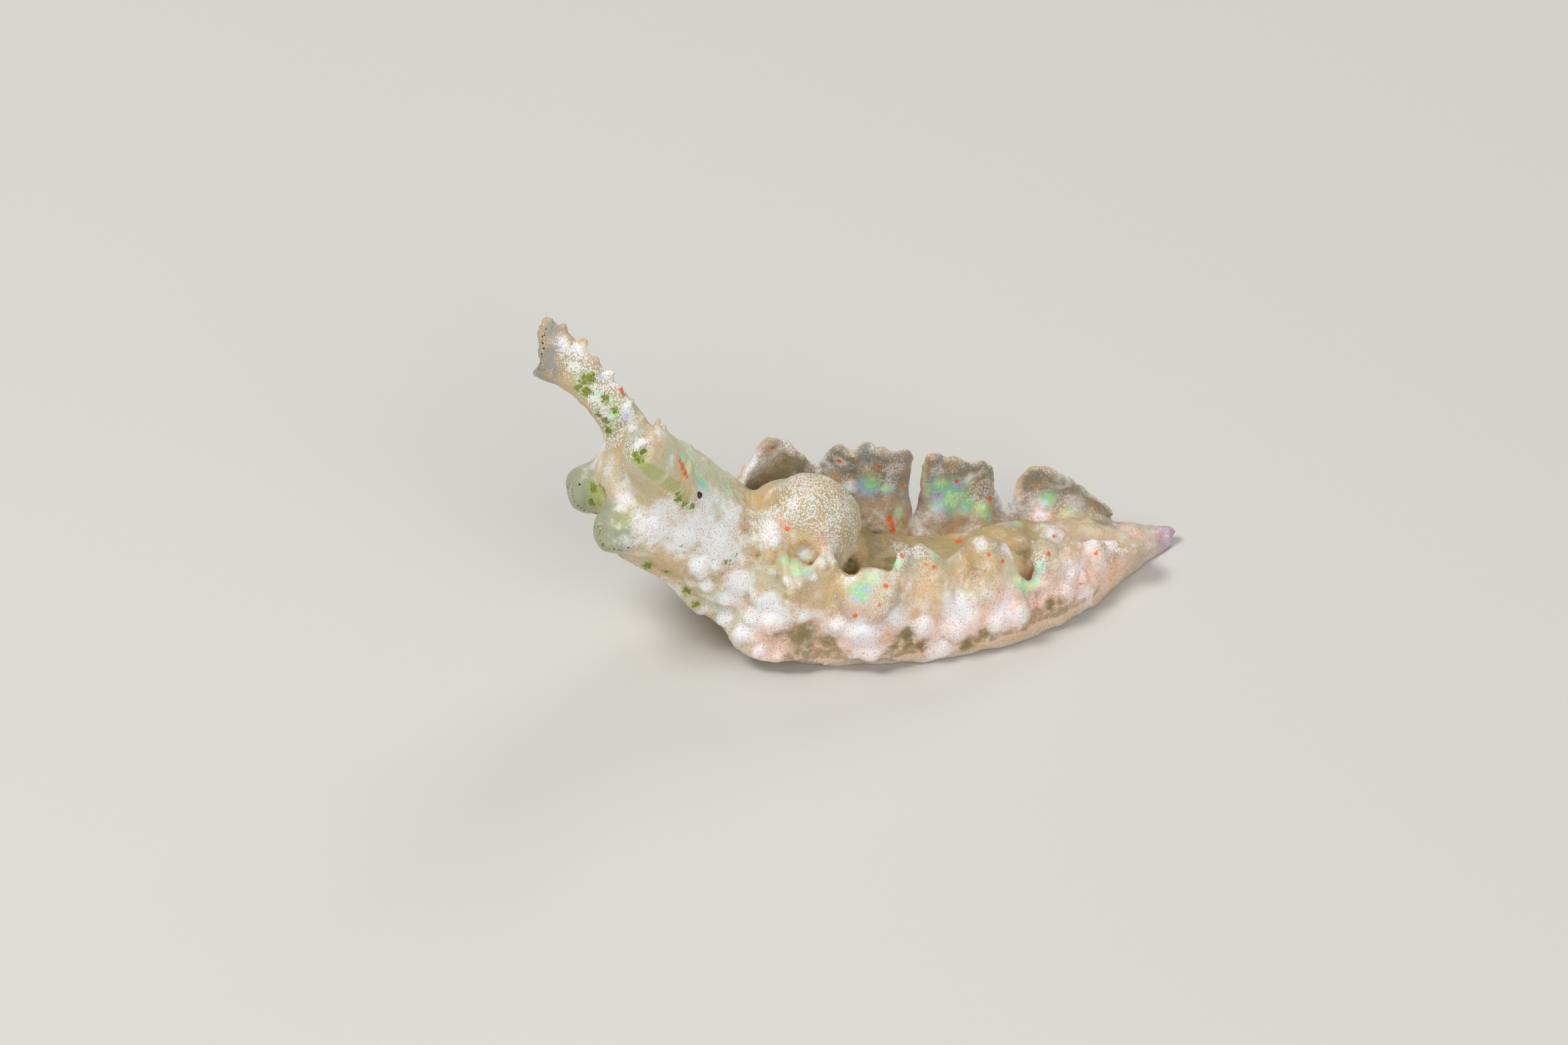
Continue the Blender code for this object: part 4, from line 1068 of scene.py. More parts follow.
    def locate(self, points: np.ndarray) -> Triple:
        """Back, out and up of points given in the model's frame."""
        samples = np.linspace(-0.3, 11.65, 180)
        origin, left, up = self.plan.section(samples)
        origin = origin + self.plan.shift
        ahead = np.cross(left, up)
        found = []
        for chunk in np.array_split(points, max(1, len(points) // 20000)):
            gap = np.abs(chunk @ ahead.T - np.sum(origin * ahead, axis=1))
            aside = np.linalg.norm(chunk[:, None, :2] - origin[None, :, :2], axis=2)
            k = np.argmin(gap + 0.10 * aside, axis=1)
            reach = chunk - origin[k]
            ways = (np.sum(reach * way[k], axis=1) for way in (ahead, left, up))
            found.append(np.stack(list(ways)))
            found[-1][0] = samples[k] - found[-1][0]
        return tuple(np.concatenate(found, axis=1))

    def measures(self, points: np.ndarray) -> dict[str, np.ndarray]:
        """The points' places by name, for the regions."""
        back, out, up = self.locate(points)
        return {"back": back, "out": out, "up": up, "aside": np.abs(out), "height": points[:, 2]}

    def warts(self) -> list[tuple[np.ndarray, float, float]]:
        """Every wart as place, radius and height: the photo's, their mirror images, and small ones."""
        draw = random.Random(self.seed + 1)
        tree = self.surface_tree()
        scale = self.camera.pixels_per_mm
        found = []
        for x, y, radius, height in WARTS_PX:
            spot = self.find(tree, x, y)
            if spot is not None:
                found.append((spot, radius / scale, height / scale))
                grown = draw.uniform(0.8, 1.15)
                found.append((self.mirrored(tree, spot), radius / scale * grown, height / scale * grown))
        for flap in self.flaps:
            for _ in range(self.flap_pimples):
                back = draw.uniform(flap.start + 0.2, flap.end - 0.2)
                spot = flap.face_point(back, draw.uniform(0.05, 0.95))
                size = draw.uniform(0.05, 0.10)
                found.append((spot, size, size * draw.uniform(0.25, 0.5)))
        for _ in range(self.head_pimples):
            back = draw.uniform(0.2, 3.4)
            turn = draw.choice((-1, 1)) * draw.uniform(-30, 90)
            out, up = self.plan.core_point(back, abs(turn) if turn > 0 else 180 - abs(turn))
            size = draw.uniform(0.045, 0.09)
            found.append((self.plan.place(back, out, up), size, size * draw.uniform(0.2, 0.45)))
        return found

    def mouth_slit(self, measures: dict[str, np.ndarray], half_wide: float, half_tall: float) -> np.ndarray:
        """How deep in the mouth's slit each point lies, from 0 to 1."""
        low = (measures["up"] - self.mouth_up) / half_tall
        return np.exp(-((measures["out"] / half_wide) ** 4) - low ** 2) * region("snout", measures)

    def raise_warts(self) -> None:
        """Pushes the skin out into warts and uneven lumps along its normals, and in at its dents."""
        mesh = self.obj.data
        points, normals = read_points(mesh), read_normals(mesh)
        finder, tree = point_finder(points), self.surface_tree()
        rise, fall = np.zeros(len(points)), np.zeros(len(points))
        for x, y, radius, depth in DENTS_PX:
            reach = radius / self.camera.pixels_per_mm
            for _, index, distance in finder.find_range(Vector(self.find(tree, x, y)), reach):
                sunk = depth / self.camera.pixels_per_mm * (1 - (distance / reach) ** 2) ** 2
                fall[index] = max(fall[index], sunk)
        grain = cloud(points, 6.0)
        ragged = 1.12 + 0.40 * cloud(points, 4.0, 7.0) + 0.30 * grain
        for spot, radius, height in self.warts():
            reach = radius * 1.25
            for _, index, distance in finder.find_range(Vector(spot), reach):
                share = max(0.0, 1 - (distance * ragged[index] / reach) ** 2)
                rise[index] = max(rise[index], 1.05 * height * share ** 1.5)
        measures = self.measures(points)
        lumps = np.array([noise.fractal(Vector(point * 1.5), 0.6, 2.2, 3) for point in points])
        pebbles = cloud(points, 3.2, 3.0) * region("low", measures)
        uneven = 0.030 * lumps * (1 + 2.2 * region("ridge", measures)) + 0.012 * grain + 0.030 * pebbles
        rise = rise + uneven * region("off_sole", measures)
        rise = rise - 0.12 * self.mouth_slit(measures, 0.17, 0.07)
        rise = rise * ease(fall, 0.08, 0.0) - fall
        write_points(mesh, points + normals * (rise * region("off_floor", measures))[:, None])

    def rest_on_floor(self) -> None:
        """Flattens the sole onto the floor."""
        points = read_points(self.obj.data)
        points[:, 2] = np.where(points[:, 2] < 0.02, 0.0, points[:, 2])
        write_points(self.obj.data, points)

    def store(self, name: str, values: np.ndarray) -> None:
        """Keeps one value a point on the mesh, for the material to read."""
        attribute = self.obj.data.attributes.new(name, "FLOAT", "POINT")
        attribute.data.foreach_set("value", np.asarray(values, np.float32))

    def flap_shares(self, points: np.ndarray) -> tuple[np.ndarray, np.ndarray]:
        """How far up a flap each point lies, 0 off the flaps, and its face: -1 inside, 1 outside."""
        samples, shares, ways = [], [], []
        for flap in self.flaps:
            back, v = np.meshgrid(np.linspace(flap.start, flap.end, 170), np.linspace(0, 1, 28))
            samples.append(flap.surface(back, v).reshape(-1, 3))
            ways.append(flap.across(back, v).reshape(-1, 3))
            shares.append(v.ravel())
        samples, ways, shares = (np.concatenate(parts) for parts in (samples, ways, shares))
        finder = point_finder(samples)
        found = [finder.find(point) for point in points]
        nearest = np.array([item[1] for item in found])
        distance = np.array([item[2] for item in found])
        on_flap = ease(distance, 0.36, 0.26)
        side = np.sum(ways[nearest] * (points - samples[nearest]), axis=1)
        return shares[nearest] * on_flap, np.sign(side)

    def spread(self, finder: kdtree.KDTree, spots: list, count: int) -> np.ndarray:
        """A field that falls evenly from its strength at each spot to nothing at its reach."""
        values = np.zeros(count)
        for spot, reach, strength in spots:
            for _, index, distance in finder.find_range(Vector(spot), reach):
                values[index] = max(values[index], strength * (1 - distance / reach))
        return values

    @staticmethod
    def between(spots: list) -> list:
        """The spots with one more halfway between neighbours that lie close together."""
        filled = []
        for one, other in zip(spots, spots[1:]):
            filled.append(one)
            if np.linalg.norm(other[0] - one[0]) < CLOSE:
                filled.append(tuple((a + b) / 2 for a, b in zip(one, other)))
        return filled + spots[-1:]

    def spots(self, tree: BVHTree, kind: Mark) -> list:
        """A kind's markings as place, reach and strength, mirrored where both sides have them."""
        spots = []
        for x, y, radius, *strength in MARKS_PX[kind]:
            found = self.find(tree, x, y)
            if found is None:
                continue
            back, _, up = (value[0] for value in self.locate(found[None]))
            one_sided = (
                (kind in (Mark.GREEN, Mark.BAND) and back < 0.6)
                or (kind in (Mark.LUSTRE, Mark.RED) and back > 2.8)
                or (kind is Mark.OLIVE and up > 0.9)
            )
            reach = radius / self.camera.pixels_per_mm * kind.reach
            for spot in [found] if one_sided else [found, self.mirrored(tree, found)]:
                spots.append((spot, reach, strength[0] if strength else 1.0))
        if kind is Mark.BAND:
            spots += self.between(self.between(spots))
        return spots

    def rim_spots(self, tree: BVHTree) -> list:
        """Places every three pixels along the thin edges' dark lines, with their mirror images."""
        rims = []
        for line in RIM_LINES_PX:
            for (x0, y0), (x1, y1) in zip(line, line[1:]):
                steps = max(2, int(math.hypot(x1 - x0, y1 - y0) / 3))
                for step in range(steps):
                    found = self.find(tree, x0 + (x1 - x0) * step / steps, y0 + (y1 - y0) * step / steps)
                    if found is not None:
                        rims += [(spot, self.rim_reach, 1.0) for spot in (found, self.mirrored(tree, found))]
        return rims

    def on_hump(self, measures: dict[str, np.ndarray]) -> np.ndarray:
        """Where the hump's top and its rear and far sides carry granules."""
        hump = self.lumps[0]
        reach = [measures["back"] - hump.back, measures["out"] - hump.out, measures["up"] - hump.up]
        measures["radii"] = np.linalg.norm(np.stack(reach, axis=1) / (np.array(hump.half) * 1.1), axis=1)
        sides = np.maximum(region("hump_rear", measures), region("hump_far", measures))
        return region("hump_shell", measures) * sides

    def mark(self) -> None:
        """Lays the markings on the skin as smooth fields, from 0 to 1."""
        points = read_points(self.obj.data)
        measures = self.measures(points)
        finder, tree = point_finder(points), self.surface_tree()
        # Painted shade in the mouth's slit goes into the olive-dark field
        extra = {Mark.GRAIN: 0.5 * self.on_hump(measures), Mark.OLIVE: self.mouth_slit(measures, 0.20, 0.08)}
        for kind in MARKS_PX:
            values = self.spread(finder, self.spots(tree, kind), len(points))
            self.store(kind.value, np.maximum(values, extra.get(kind, 0.0)))
        self.store("rim", self.spread(finder, self.rim_spots(tree), len(points)))
        self.mark_regions(points, measures)

    def mark_regions(self, points: np.ndarray, measures: dict[str, np.ndarray]) -> None:
        """Stores the fields that follow the body's regions: flank, inner walls, edges, foot and tail."""
        back, out = measures["back"], measures["out"]
        normals = read_normals(self.obj.data)
        left = self.plan.section(back)[1]
        share, face = self.flap_shares(points)
        measures["share"] = share
        measures["outward"] = np.sum(normals * left, axis=1) * np.sign(out)
        measures["upward"] = normals[:, 2]
        measures["width"] = measures["aside"] / through(self.plan.foot_half_width, back)
        part = {name: region(name, measures) for name in REGIONS}
        fins, lobes = self.tips(points)
        front = 0.75 * np.exp(-(((back - 4.1) / 0.5) ** 4)) * part["front_pocket"]
        wall = np.where(face < 0, part["wall"], 0.0) * (1 - np.maximum(front, 0.6 * part["front_lobe"]))
        thin = np.where((face < 0) & (out < 0), part["thin"] * (0.35 + 0.65 * part["thinner"]), 0.0)
        # The inner walls and the trough: a darker tone, partly their own and partly painted shade between the
        # flaps
        part["inner"] = np.clip(np.maximum(wall, part["trough"]) * part["before_tail"], 0, 1)
        part["edge"] = part["edge"] * np.where(out > 0, part["near_edge"], 1.0)
        part["grey"] = np.maximum.reduce([thin, fins, 0.45 * part["tail"]])
        part["lobe"] = lobes
        for name in ("pink", "inner", "edge", "grey", "lobe", "brim", "channel", "lilac"):
            self.store(name, part[name])

    def tips(self, points: np.ndarray) -> tuple[np.ndarray, np.ndarray]:
        """Where the skin is thin and see-through: the forked feeler's fin, and the lobes of the mouth."""

        def near(middle: np.ndarray, full: float, none: float) -> np.ndarray:
            """Falls from 1 at one distance from this place to 0 at another."""
            return ease(np.linalg.norm(points - middle, axis=1), none, full)

        fins, lobes = np.zeros(len(points)), np.zeros(len(points))
        for rhinophore in self.rhinophores:
            if rhinophore.forked:
                for turn in np.linspace(0, 2 * math.pi, 12, endpoint=False):
                    tip = rhinophore.point(np.array(0.97), np.array(turn))
                    fins = np.maximum(fins, near(tip, 0.25, 0.62))
        for lump in self.lumps:
            if lump.name.startswith("oral") and "cheek" not in lump.name:
                middle = self.plan.place(lump.back - 0.25, lump.out, lump.up)
                lobes = np.maximum(lobes, near(middle, 0.34, 0.68))
        return fins, lobes


# Dotted dark lines along the thin edges of the mouth's lobes and of the far feeler's tip
RIM_LINES_PX = [
    [(899, 790), (898, 803), (902, 816), (914, 825), (932, 826), (950, 819)],
    [(857, 733), (860, 748), (868, 761), (884, 770), (901, 771)],
    [(828, 486), (815, 503), (816, 523), (811, 548), (808, 560)],
]
# A feeler's papillae: share of its length, half width and height
RHINO_PAPILLAE = [
    (0.16, 0.07, 0.09), (0.30, 0.085, 0.13), (0.42, 0.065, 0.09), (0.53, 0.095, 0.17),
    (0.64, 0.065, 0.10), (0.74, 0.105, 0.22), (0.88, 0.070, 0.13),
]
# Larger papillae on the left flap's edge: how far back, direction, half width and height
LEFT_FLAP_PAPILLAE = [(8.33, (-0.25, -0.1, 1.0), 0.105, 0.24), (9.95, (0.75, -0.70, 0.0), 0.14, 0.40)]
# The one on top of the head, with the angle round the core after how far back it stands
CROWN_PAPILLA = (1.02, 88.0, (0.1, 0.0, 1.0), 0.085, 0.14)


class Graph:
    """Adds nodes to a node tree and links them."""

    def __init__(self, tree: bpy.types.NodeTree) -> None:
        """Args:
            tree: the tree of a material or a node group, with or without nodes.
        """
        self.tree = tree

    def add(self, kind: str, inputs: dict | None = None, **settings: object) -> bpy.types.Node:
        """Adds one node.

        Args:
            kind: the node's type.
            inputs: socket name or index to a value, or to a socket that is linked to it.
            settings: the node's own properties.

        Returns:
            The node.
        """
        node = self.tree.nodes.new(kind)
        for key, value in settings.items():
            setattr(node, key, value)
        for key, value in (inputs or {}).items():
            if isinstance(value, Socket):
                self.tree.links.new(value, node.inputs[key])
            else:
                node.inputs[key].default_value = value
        return node

    def link(self, socket: Socket, node: bpy.types.Node, name: str) -> None:
        """Leads a socket into a node's input."""
        self.tree.links.new(socket, node.inputs[name])

    def math(self, operation: str, a: object, b: object, clamp: bool = False) -> Socket:
        """The result of one sum on two values."""
        return self.add("ShaderNodeMath", {0: a, 1: b}, operation=operation, use_clamp=clamp).outputs[0]

    def times(self, a: object, b: object, clamp: bool = False) -> Socket:
        """The product of two values."""
        return self.math("MULTIPLY", a, b, clamp)

    def plus(self, a: object, b: object) -> Socket:
        """The sum of two values."""
        return self.math("ADD", a, b)

    def minus(self, a: object, b: object) -> Socket:
        """The first value less the second."""
        return self.math("SUBTRACT", a, b)

    def mix(self, factor: object, a: object, b: object) -> Socket:
        """Colour a turning into colour b as the factor goes from 0 to 1."""
        return self.add("ShaderNodeMix", {0: factor, 6: a, 7: b}, data_type="RGBA").outputs[2]

    def rise(self, value: object, low: object, high: object) -> Socket:
        """A smooth step from 0 at low to 1 at high."""
        inputs = {"Value": value, "From Min": low, "From Max": high}
        return self.add("ShaderNodeMapRange", inputs, interpolation_type="SMOOTHSTEP").outputs[0]

    def between(self, value: object, low: float, high: float) -> Socket:
        """A value from 0 to 1 turned into one from low to high."""
        return self.add("ShaderNodeMapRange", {"Value": value, "To Min": low, "To Max": high}).outputs[0]

    def noise(self, vector: object, scale: object, detail: float = 3.0, rough: float = 0.55) -> Socket:
        """Cloudy noise from 0 to 1."""
        inputs = {"Vector": vector, "Scale": scale, "Detail": detail, "Roughness": rough}
        return self.add("ShaderNodeTexNoise", inputs).outputs["Fac"]

    def cells(self, vector: object, scale: object, feature: str = "F1") -> bpy.types.NodeOutputs:
        """Scattered cells: the distance to each one's middle, and its own random colour."""
        inputs = {"Vector": vector, "Scale": scale}
        return self.add("ShaderNodeTexVoronoi", inputs, feature=feature).outputs

    def field(self, name: str) -> Socket:
        """A value kept on the mesh."""
        return self.add("ShaderNodeAttribute", attribute_name=name).outputs["Fac"]


class Effects:
    """Surface effects that the finishes share, each a node group."""

    def __init__(self) -> None:
        """Builds every group once."""
        self.dots = self.make_dots()
        self.granules = self.make_granules()
        self.patch = self.make_patch()
        self.relief = self.make_relief()

    @staticmethod
    def start(name: str, result: str, **values: float) -> tuple[Graph, dict, bpy.types.Node]:
        """Starts a group that reads a vector and some values and gives one value.

        Args:
            name: the group's name.
            result: its output's name.
            values: name and default of each input after the vector.

        Returns:
            The group's graph, its input sockets by name, and its output node.
        """
        tree = bpy.data.node_groups.new(name, "ShaderNodeTree")
        tree.interface.new_socket("Vector", in_out="INPUT", socket_type="NodeSocketVector")
        for label, default in values.items():
            socket = tree.interface.new_socket(label, in_out="INPUT", socket_type="NodeSocketFloat")
            socket.default_value = default
        tree.interface.new_socket(result, in_out="OUTPUT", socket_type="NodeSocketFloat")
        graph = Graph(tree)
        given = graph.add("NodeGroupInput").outputs
        return graph, {label: given[label] for label in ("Vector", *values)}, graph.add("NodeGroupOutput")

    @classmethod
    def make_dots(cls) -> bpy.types.NodeTree:
        """Fine scattered dots: cells of a given number to the millimetre, a share of them filled."""
        graph, given, result = cls.start("fine_dots", "Mask", Scale=14, Share=0.5, Size=0.3)
        cells = graph.cells(given["Vector"], given["Scale"])
        chance = graph.add("ShaderNodeSeparateColor", {0: cells["Color"]}).outputs
        chosen = graph.math("LESS_THAN", chance[0], given["Share"])
        size = graph.times(given["Size"], graph.plus(0.55, chance[1]))
        soft = graph.times(graph.minus(size, cells["Distance"]), 9.0, clamp=True)
        graph.link(graph.times(soft, chosen), result, "Mask")
        return graph.tree

    @classmethod
    def make_granules(cls) -> bpy.types.NodeTree:
        """Packed white granules: cells with thin gaps between them, filled as far as the cover says."""
        graph, given, result = cls.start("white_granules", "Mask", Cover=0.5, Scale=27)
        cells = graph.cells(given["Vector"], given["Scale"])
        chance = graph.add("ShaderNodeSeparateColor", {0: cells["Color"]}).outputs
        present = graph.times(graph.minus(given["Cover"], chance[0]), 6.0, clamp=True)
        size = graph.plus(0.34, graph.times(given["Cover"], 0.30))
        body = graph.times(graph.minus(size, cells["Distance"]), 5.0, clamp=True)
        graph.link(graph.times(body, present), result, "Mask")
        return graph.tree

    @classmethod
    def make_patch(cls) -> bpy.types.NodeTree:
        """Turns a smooth field into a patch with a ragged, grainy edge."""
        graph, given, result = cls.start(
            "ragged_patch", "Mask", Field=0, Scale=12, Raggedness=0.5, Start=0.3, Full=0.6
        )
        rough = graph.noise(given["Vector"], given["Scale"], 4.0, 0.65)
        value = graph.plus(given["Field"], graph.times(graph.minus(rough, 0.5), given["Raggedness"]))
        step = graph.rise(value, given["Start"], given["Full"])
        present = graph.times(given["Field"], 12.0, clamp=True)
        graph.link(graph.times(step, present), result, "Mask")
        return graph.tree

    @classmethod
    def make_relief(cls) -> bpy.types.NodeTree:
        """Height of moist skin: soft pebbles with finer grain on them."""
        graph, given, result = cls.start("moist_relief", "Height")
        pebbles = graph.cells(given["Vector"], 9.0, "SMOOTH_F1")
        mound = graph.times(graph.minus(0.7, pebbles["Distance"]), 0.6)
        grain = graph.times(graph.noise(given["Vector"], 26.0), 0.5)
        graph.link(graph.plus(mound, grain), result, "Height")
        return graph.tree


@dataclass
class Painter:
    """Lays one colour after another over a material's ground, where the mesh's fields say so."""

    graph: Graph
    effects: Effects
    vector: Socket
    colour: object = None

    def use(self, group: bpy.types.NodeTree, **inputs: object) -> Socket:
        """The result of a shared effect with these inputs."""
        inputs["Vector"] = self.vector
        return self.graph.add("ShaderNodeGroup", inputs, node_tree=group).outputs[0]

    def patch(self, name: str, scale: float, ragged: float, start: float, full: float) -> Socket:
        """A ragged patch where this field lies on the skin."""
        inputs = {"Field": self.graph.field(name), "Scale": scale, "Raggedness": ragged}
        return self.use(self.effects.patch, Start=start, Full=full, **inputs)

    def blend(self, scale: float, detail: float, low: float, high: float, a: object, b: object) -> object:
        """Colour a clouded with colour b."""
        return self.graph.mix(self.graph.rise(self.graph.noise(self.vector, scale, detail), low, high), a, b)

    def lay(self, mask: object, strength: object, shade: object) -> None:
        """Covers what is there with this shade, as far as the mask and the strength say."""
        self.colour = self.graph.mix(self.graph.times(mask, strength), self.colour, shade)


@dataclass(frozen=True)
class SkinFinish:
    """Moist, milky skin with frosting, speckles, green patches, painted shade in its hollows and a painted
    pearly sheen on the lips.
    """

    cream: tuple = srgb(211, 203, 170)
    sand: tuple = srgb(215, 186, 138)
    pink: tuple = srgb(246, 208, 192)
    # Tan: painted shade in the valleys, pockets and openings, and a tone mixed into the thin parts' grey
    tan: tuple = srgb(206, 174, 122)
    # Darker brown of the inner walls and the trough: partly their own tone, partly painted shade between the
    # flaps
    inside: tuple = srgb(180, 160, 110)
    cool: tuple = srgb(198, 210, 182)
    under_grain: tuple = srgb(168, 160, 122)
    # Olive-dark: painted shade in the dips, pockets, openings and the mouth's slit, and the low patches along
    # the flanks
    olive: tuple = srgb(124, 108, 50)
    moss: tuple = srgb(106, 110, 40)
    frost: tuple = srgb(250, 253, 255)
    rosy: tuple = srgb(252, 230, 226)
    green: tuple = srgb(140, 150, 42)
    dark_green: tuple = srgb(104, 116, 22)
    pale_green: tuple = srgb(178, 188, 118)
    speckle: tuple = srgb(204, 120, 74)
    red: tuple = srgb(238, 102, 28)
    glassy: tuple = srgb(151, 152, 144)
    hem: tuple = srgb(212, 200, 188)
    lobe: tuple = srgb(150, 160, 132)
    lilac: tuple = srgb(186, 158, 190)
    rim: tuple = srgb(40, 40, 44)
    # The painted sheen's pearly colours, by where they start along the hue
    pearls: tuple = (
        (0.28, srgb(236, 240, 150)), (0.38, srgb(176, 246, 172)), (0.47, srgb(112, 224, 140)),
        (0.54, srgb(132, 206, 236)), (0.62, srgb(178, 176, 240)), (0.72, srgb(214, 190, 232)),
    )
    # The speckles' two sizes: number to the millimetre, size, strength and offset of their clouds
    speckle_sizes: tuple = ((25.0, 0.26, 0.70, 0.0), (42.0, 0.34, 0.74, 3.7))

    def build(self, effects: Effects) -> bpy.types.Material:
        """Makes the material.

        Args:
            effects: the shared node groups.

        Returns:
            The skin's material.
        """
        material = bpy.data.materials.new("slug_skin")
        material.use_nodes = True
        graph = Graph(material.node_tree)
        shader = material.node_tree.nodes["Principled BSDF"]
        coords = graph.add("ShaderNodeTexCoord").outputs["Object"]
        vector = graph.add("ShaderNodeVectorMath", {0: coords, "Scale": 1 / MM}, operation="SCALE").outputs[0]
        paint = Painter(graph, effects, vector)
        self.ground(paint)
        self.frosting(paint)
        self.speckles(paint)
        self.pearl(paint)
        leaf = paint.blend(21.0, 3.0, 0.42, 0.60, self.green, self.dark_green)
        paint.lay(paint.patch("green", 19.0, 1.3, 0.58, 0.76), 0.94, leaf)
        paint.lay(paint.patch("red", 30.0, 0.55, 0.64, 0.80), 0.9, self.red)
        rim_dots = paint.use(effects.dots, Scale=22.0, Share=0.62, Size=0.42)
        paint.lay(graph.rise(graph.field("rim"), 0.55, 0.80), rim_dots, self.rim)
        graph.link(paint.colour, shader, "Base Color")
        graph.link(graph.between(graph.noise(vector, 9.0, 4.0, 0.65), 0.34, 0.58), shader, "Roughness")
        relief = paint.use(effects.relief)
        bump = graph.add("ShaderNodeBump", {"Strength": 0.55, "Distance": 0.00002, "Height": relief})
        graph.link(bump.outputs[0], shader, "Normal")
        shader.inputs["Subsurface Weight"].default_value = 0.45
        shader.inputs["Subsurface Radius"].default_value = (1.0, 0.66, 0.42)
        shader.inputs["Subsurface Scale"].default_value = 0.00012
        shader.inputs["Coat Weight"].default_value = 0.15
        shader.inputs["Coat Roughness"].default_value = 0.20
        shader.inputs["IOR"].default_value = 1.38
        return material

    def ground(self, paint: Painter) -> None:
        """The skin's colours region by region, with painted shade in its valleys, pockets and openings and
        between the flaps.
        """
        paint.colour = paint.blend(1.1, 4.0, 0.38, 0.66, self.cream, self.sand)
        # Olive and moss in clouds: the olive-dark painted shade, and the channel's colour
        moss_and_shade = paint.blend(7.0, 3.0, 0.45, 0.62, self.olive, self.moss)
        haze = paint.blend(4.0, 4.0, 0.45, 0.75, self.glassy, self.tan)
        # Field, strength, shade, and the ragged patch's scale, raggedness, start and full value
        layers = (
            # Inner walls and trough: their own darker tone with painted shade between the flaps
            ("inner", 0.85, self.inside, (2.6, 0.9, 0.0, 0.9)),
            # Tan painted shade in the valleys, pockets and spout openings
            ("tan", 0.75, self.tan, (5.0, 0.45, 0.05, 0.85)),
            ("cool", 0.85, self.cool, (3.0, 0.4, 0.0, 0.8)),
            ("pink", 0.62, self.pink, None),
            ("blush", 0.70, self.pink, (4.0, 0.7, 0.0, 0.7)),
            ("grain", 0.60, self.under_grain, (5.0, 0.5, 0.0, 0.5)),
            ("channel", 0.6, moss_and_shade, (6.0, 1.4, 0.66, 1.1)),
            # Olive-dark painted shade in the dips, pockets, spout openings and the mouth's slit, and
            # olive-dark patches low on the flanks
            ("olive", 0.85, moss_and_shade, (6.0, 1.1, 0.10, 0.75)),
            ("lobe", 0.8, self.lobe, None),
            ("grey", 0.85, haze, None),
            ("edge", 0.30, self.glassy, (12.0, 0.0, 0.6, 1.0)),
            ("brim", 0.85, self.hem, None),
            ("lilac", 0.8, self.lilac, None),
            ("band", 0.85, self.pale_green, (5.0, 0.2, 0.28, 0.58)),
            ("green", 0.70, self.pale_green, (5.0, 0.4, 0.15, 0.70)),
        )
        for name, strength, shade, edge in layers:
            paint.lay(paint.patch(name, *edge) if edge else paint.graph.field(name), strength, shade)

    def frosting(self, paint: Painter) -> None:
        """White clouds under the skin, and white granules in it."""
        graph = paint.graph
        drift = graph.times(graph.minus(graph.noise(paint.vector, 3.4, 5.0, 0.66), 0.5), 1.5)
        clouds = graph.rise(graph.plus(graph.field("frost"), drift), 0.02, 0.72)
        white = graph.mix(graph.times(graph.field("pink"), 0.90), self.frost, self.rosy)
        paint.lay(clouds, 0.92, white)
        sparse = graph.rise(graph.noise(paint.vector, 2.0), 0.30, 0.75)
        packed = paint.patch("grain", 5.0, 0.5, 0.0, 0.5)
        cover = clouds
        shares = ((sparse, 0.38), (packed, 0.80), (graph.field("grey"), 0.15), (graph.field("edge"), 0.25))
        for part, share in shares:
            cover = graph.plus(cover, graph.times(part, share))
        granules = paint.use(paint.effects.granules, Cover=cover)
        paint.lay(granules, graph.plus(0.40, graph.times(packed, 0.22)), self.frost)

    def speckles(self, paint: Painter) -> None:
        """Fine red-brown dots, thicker in some places than in others."""
        graph = paint.graph
        for scale, size, strength, offset in self.speckle_sizes:
            moved = graph.add("ShaderNodeVectorMath", {0: paint.vector, 1: (offset,) * 3}).outputs[0]
            thick = graph.rise(graph.noise(moved, 2.0, 5.0, 0.65), 0.42, 0.66)
            share = graph.plus(0.10, graph.times(thick, 0.85))
            share = graph.minus(share, graph.times(graph.field("lobe"), 0.5))
            dots = paint.use(paint.effects.dots, Scale=scale, Share=share, Size=size)
            paint.lay(dots, strength, self.speckle)

    def pearl(self, paint: Painter) -> None:
        """Painted iridescent sheen: pearly, rainbow-like patches in the rolled lips and on the inner walls,
        with painted glints that glitter up close.
        """
        graph = paint.graph
        hue = graph.plus(graph.noise(paint.vector, 2.6, 2.0), graph.times(graph.field("lustre"), -0.13))
        ramp = graph.add("ShaderNodeValToRGB", {0: hue})
        stops = ramp.color_ramp.elements
        stops[0].position, stops[0].color = self.pearls[0]
        stops[1].position, stops[1].color = self.pearls[-1]
        for position, shade in self.pearls[1:-1]:
            stops.new(position).color = shade
        rainbow = ramp.outputs[0]
        mask = paint.patch("lustre", 7.0, 0.6, 0.0, 0.75)
        # Painted iridescent sheen: whitened, then rainbow-coloured, then strewn with painted glints
        paint.lay(mask, 0.30, self.frost)
        paint.lay(mask, 0.62, rainbow)
        glitter = paint.use(paint.effects.dots, Scale=24.0, Share=0.5, Size=0.42)
        paint.lay(graph.times(glitter, mask), 0.8, graph.mix(0.45, rainbow, self.frost))


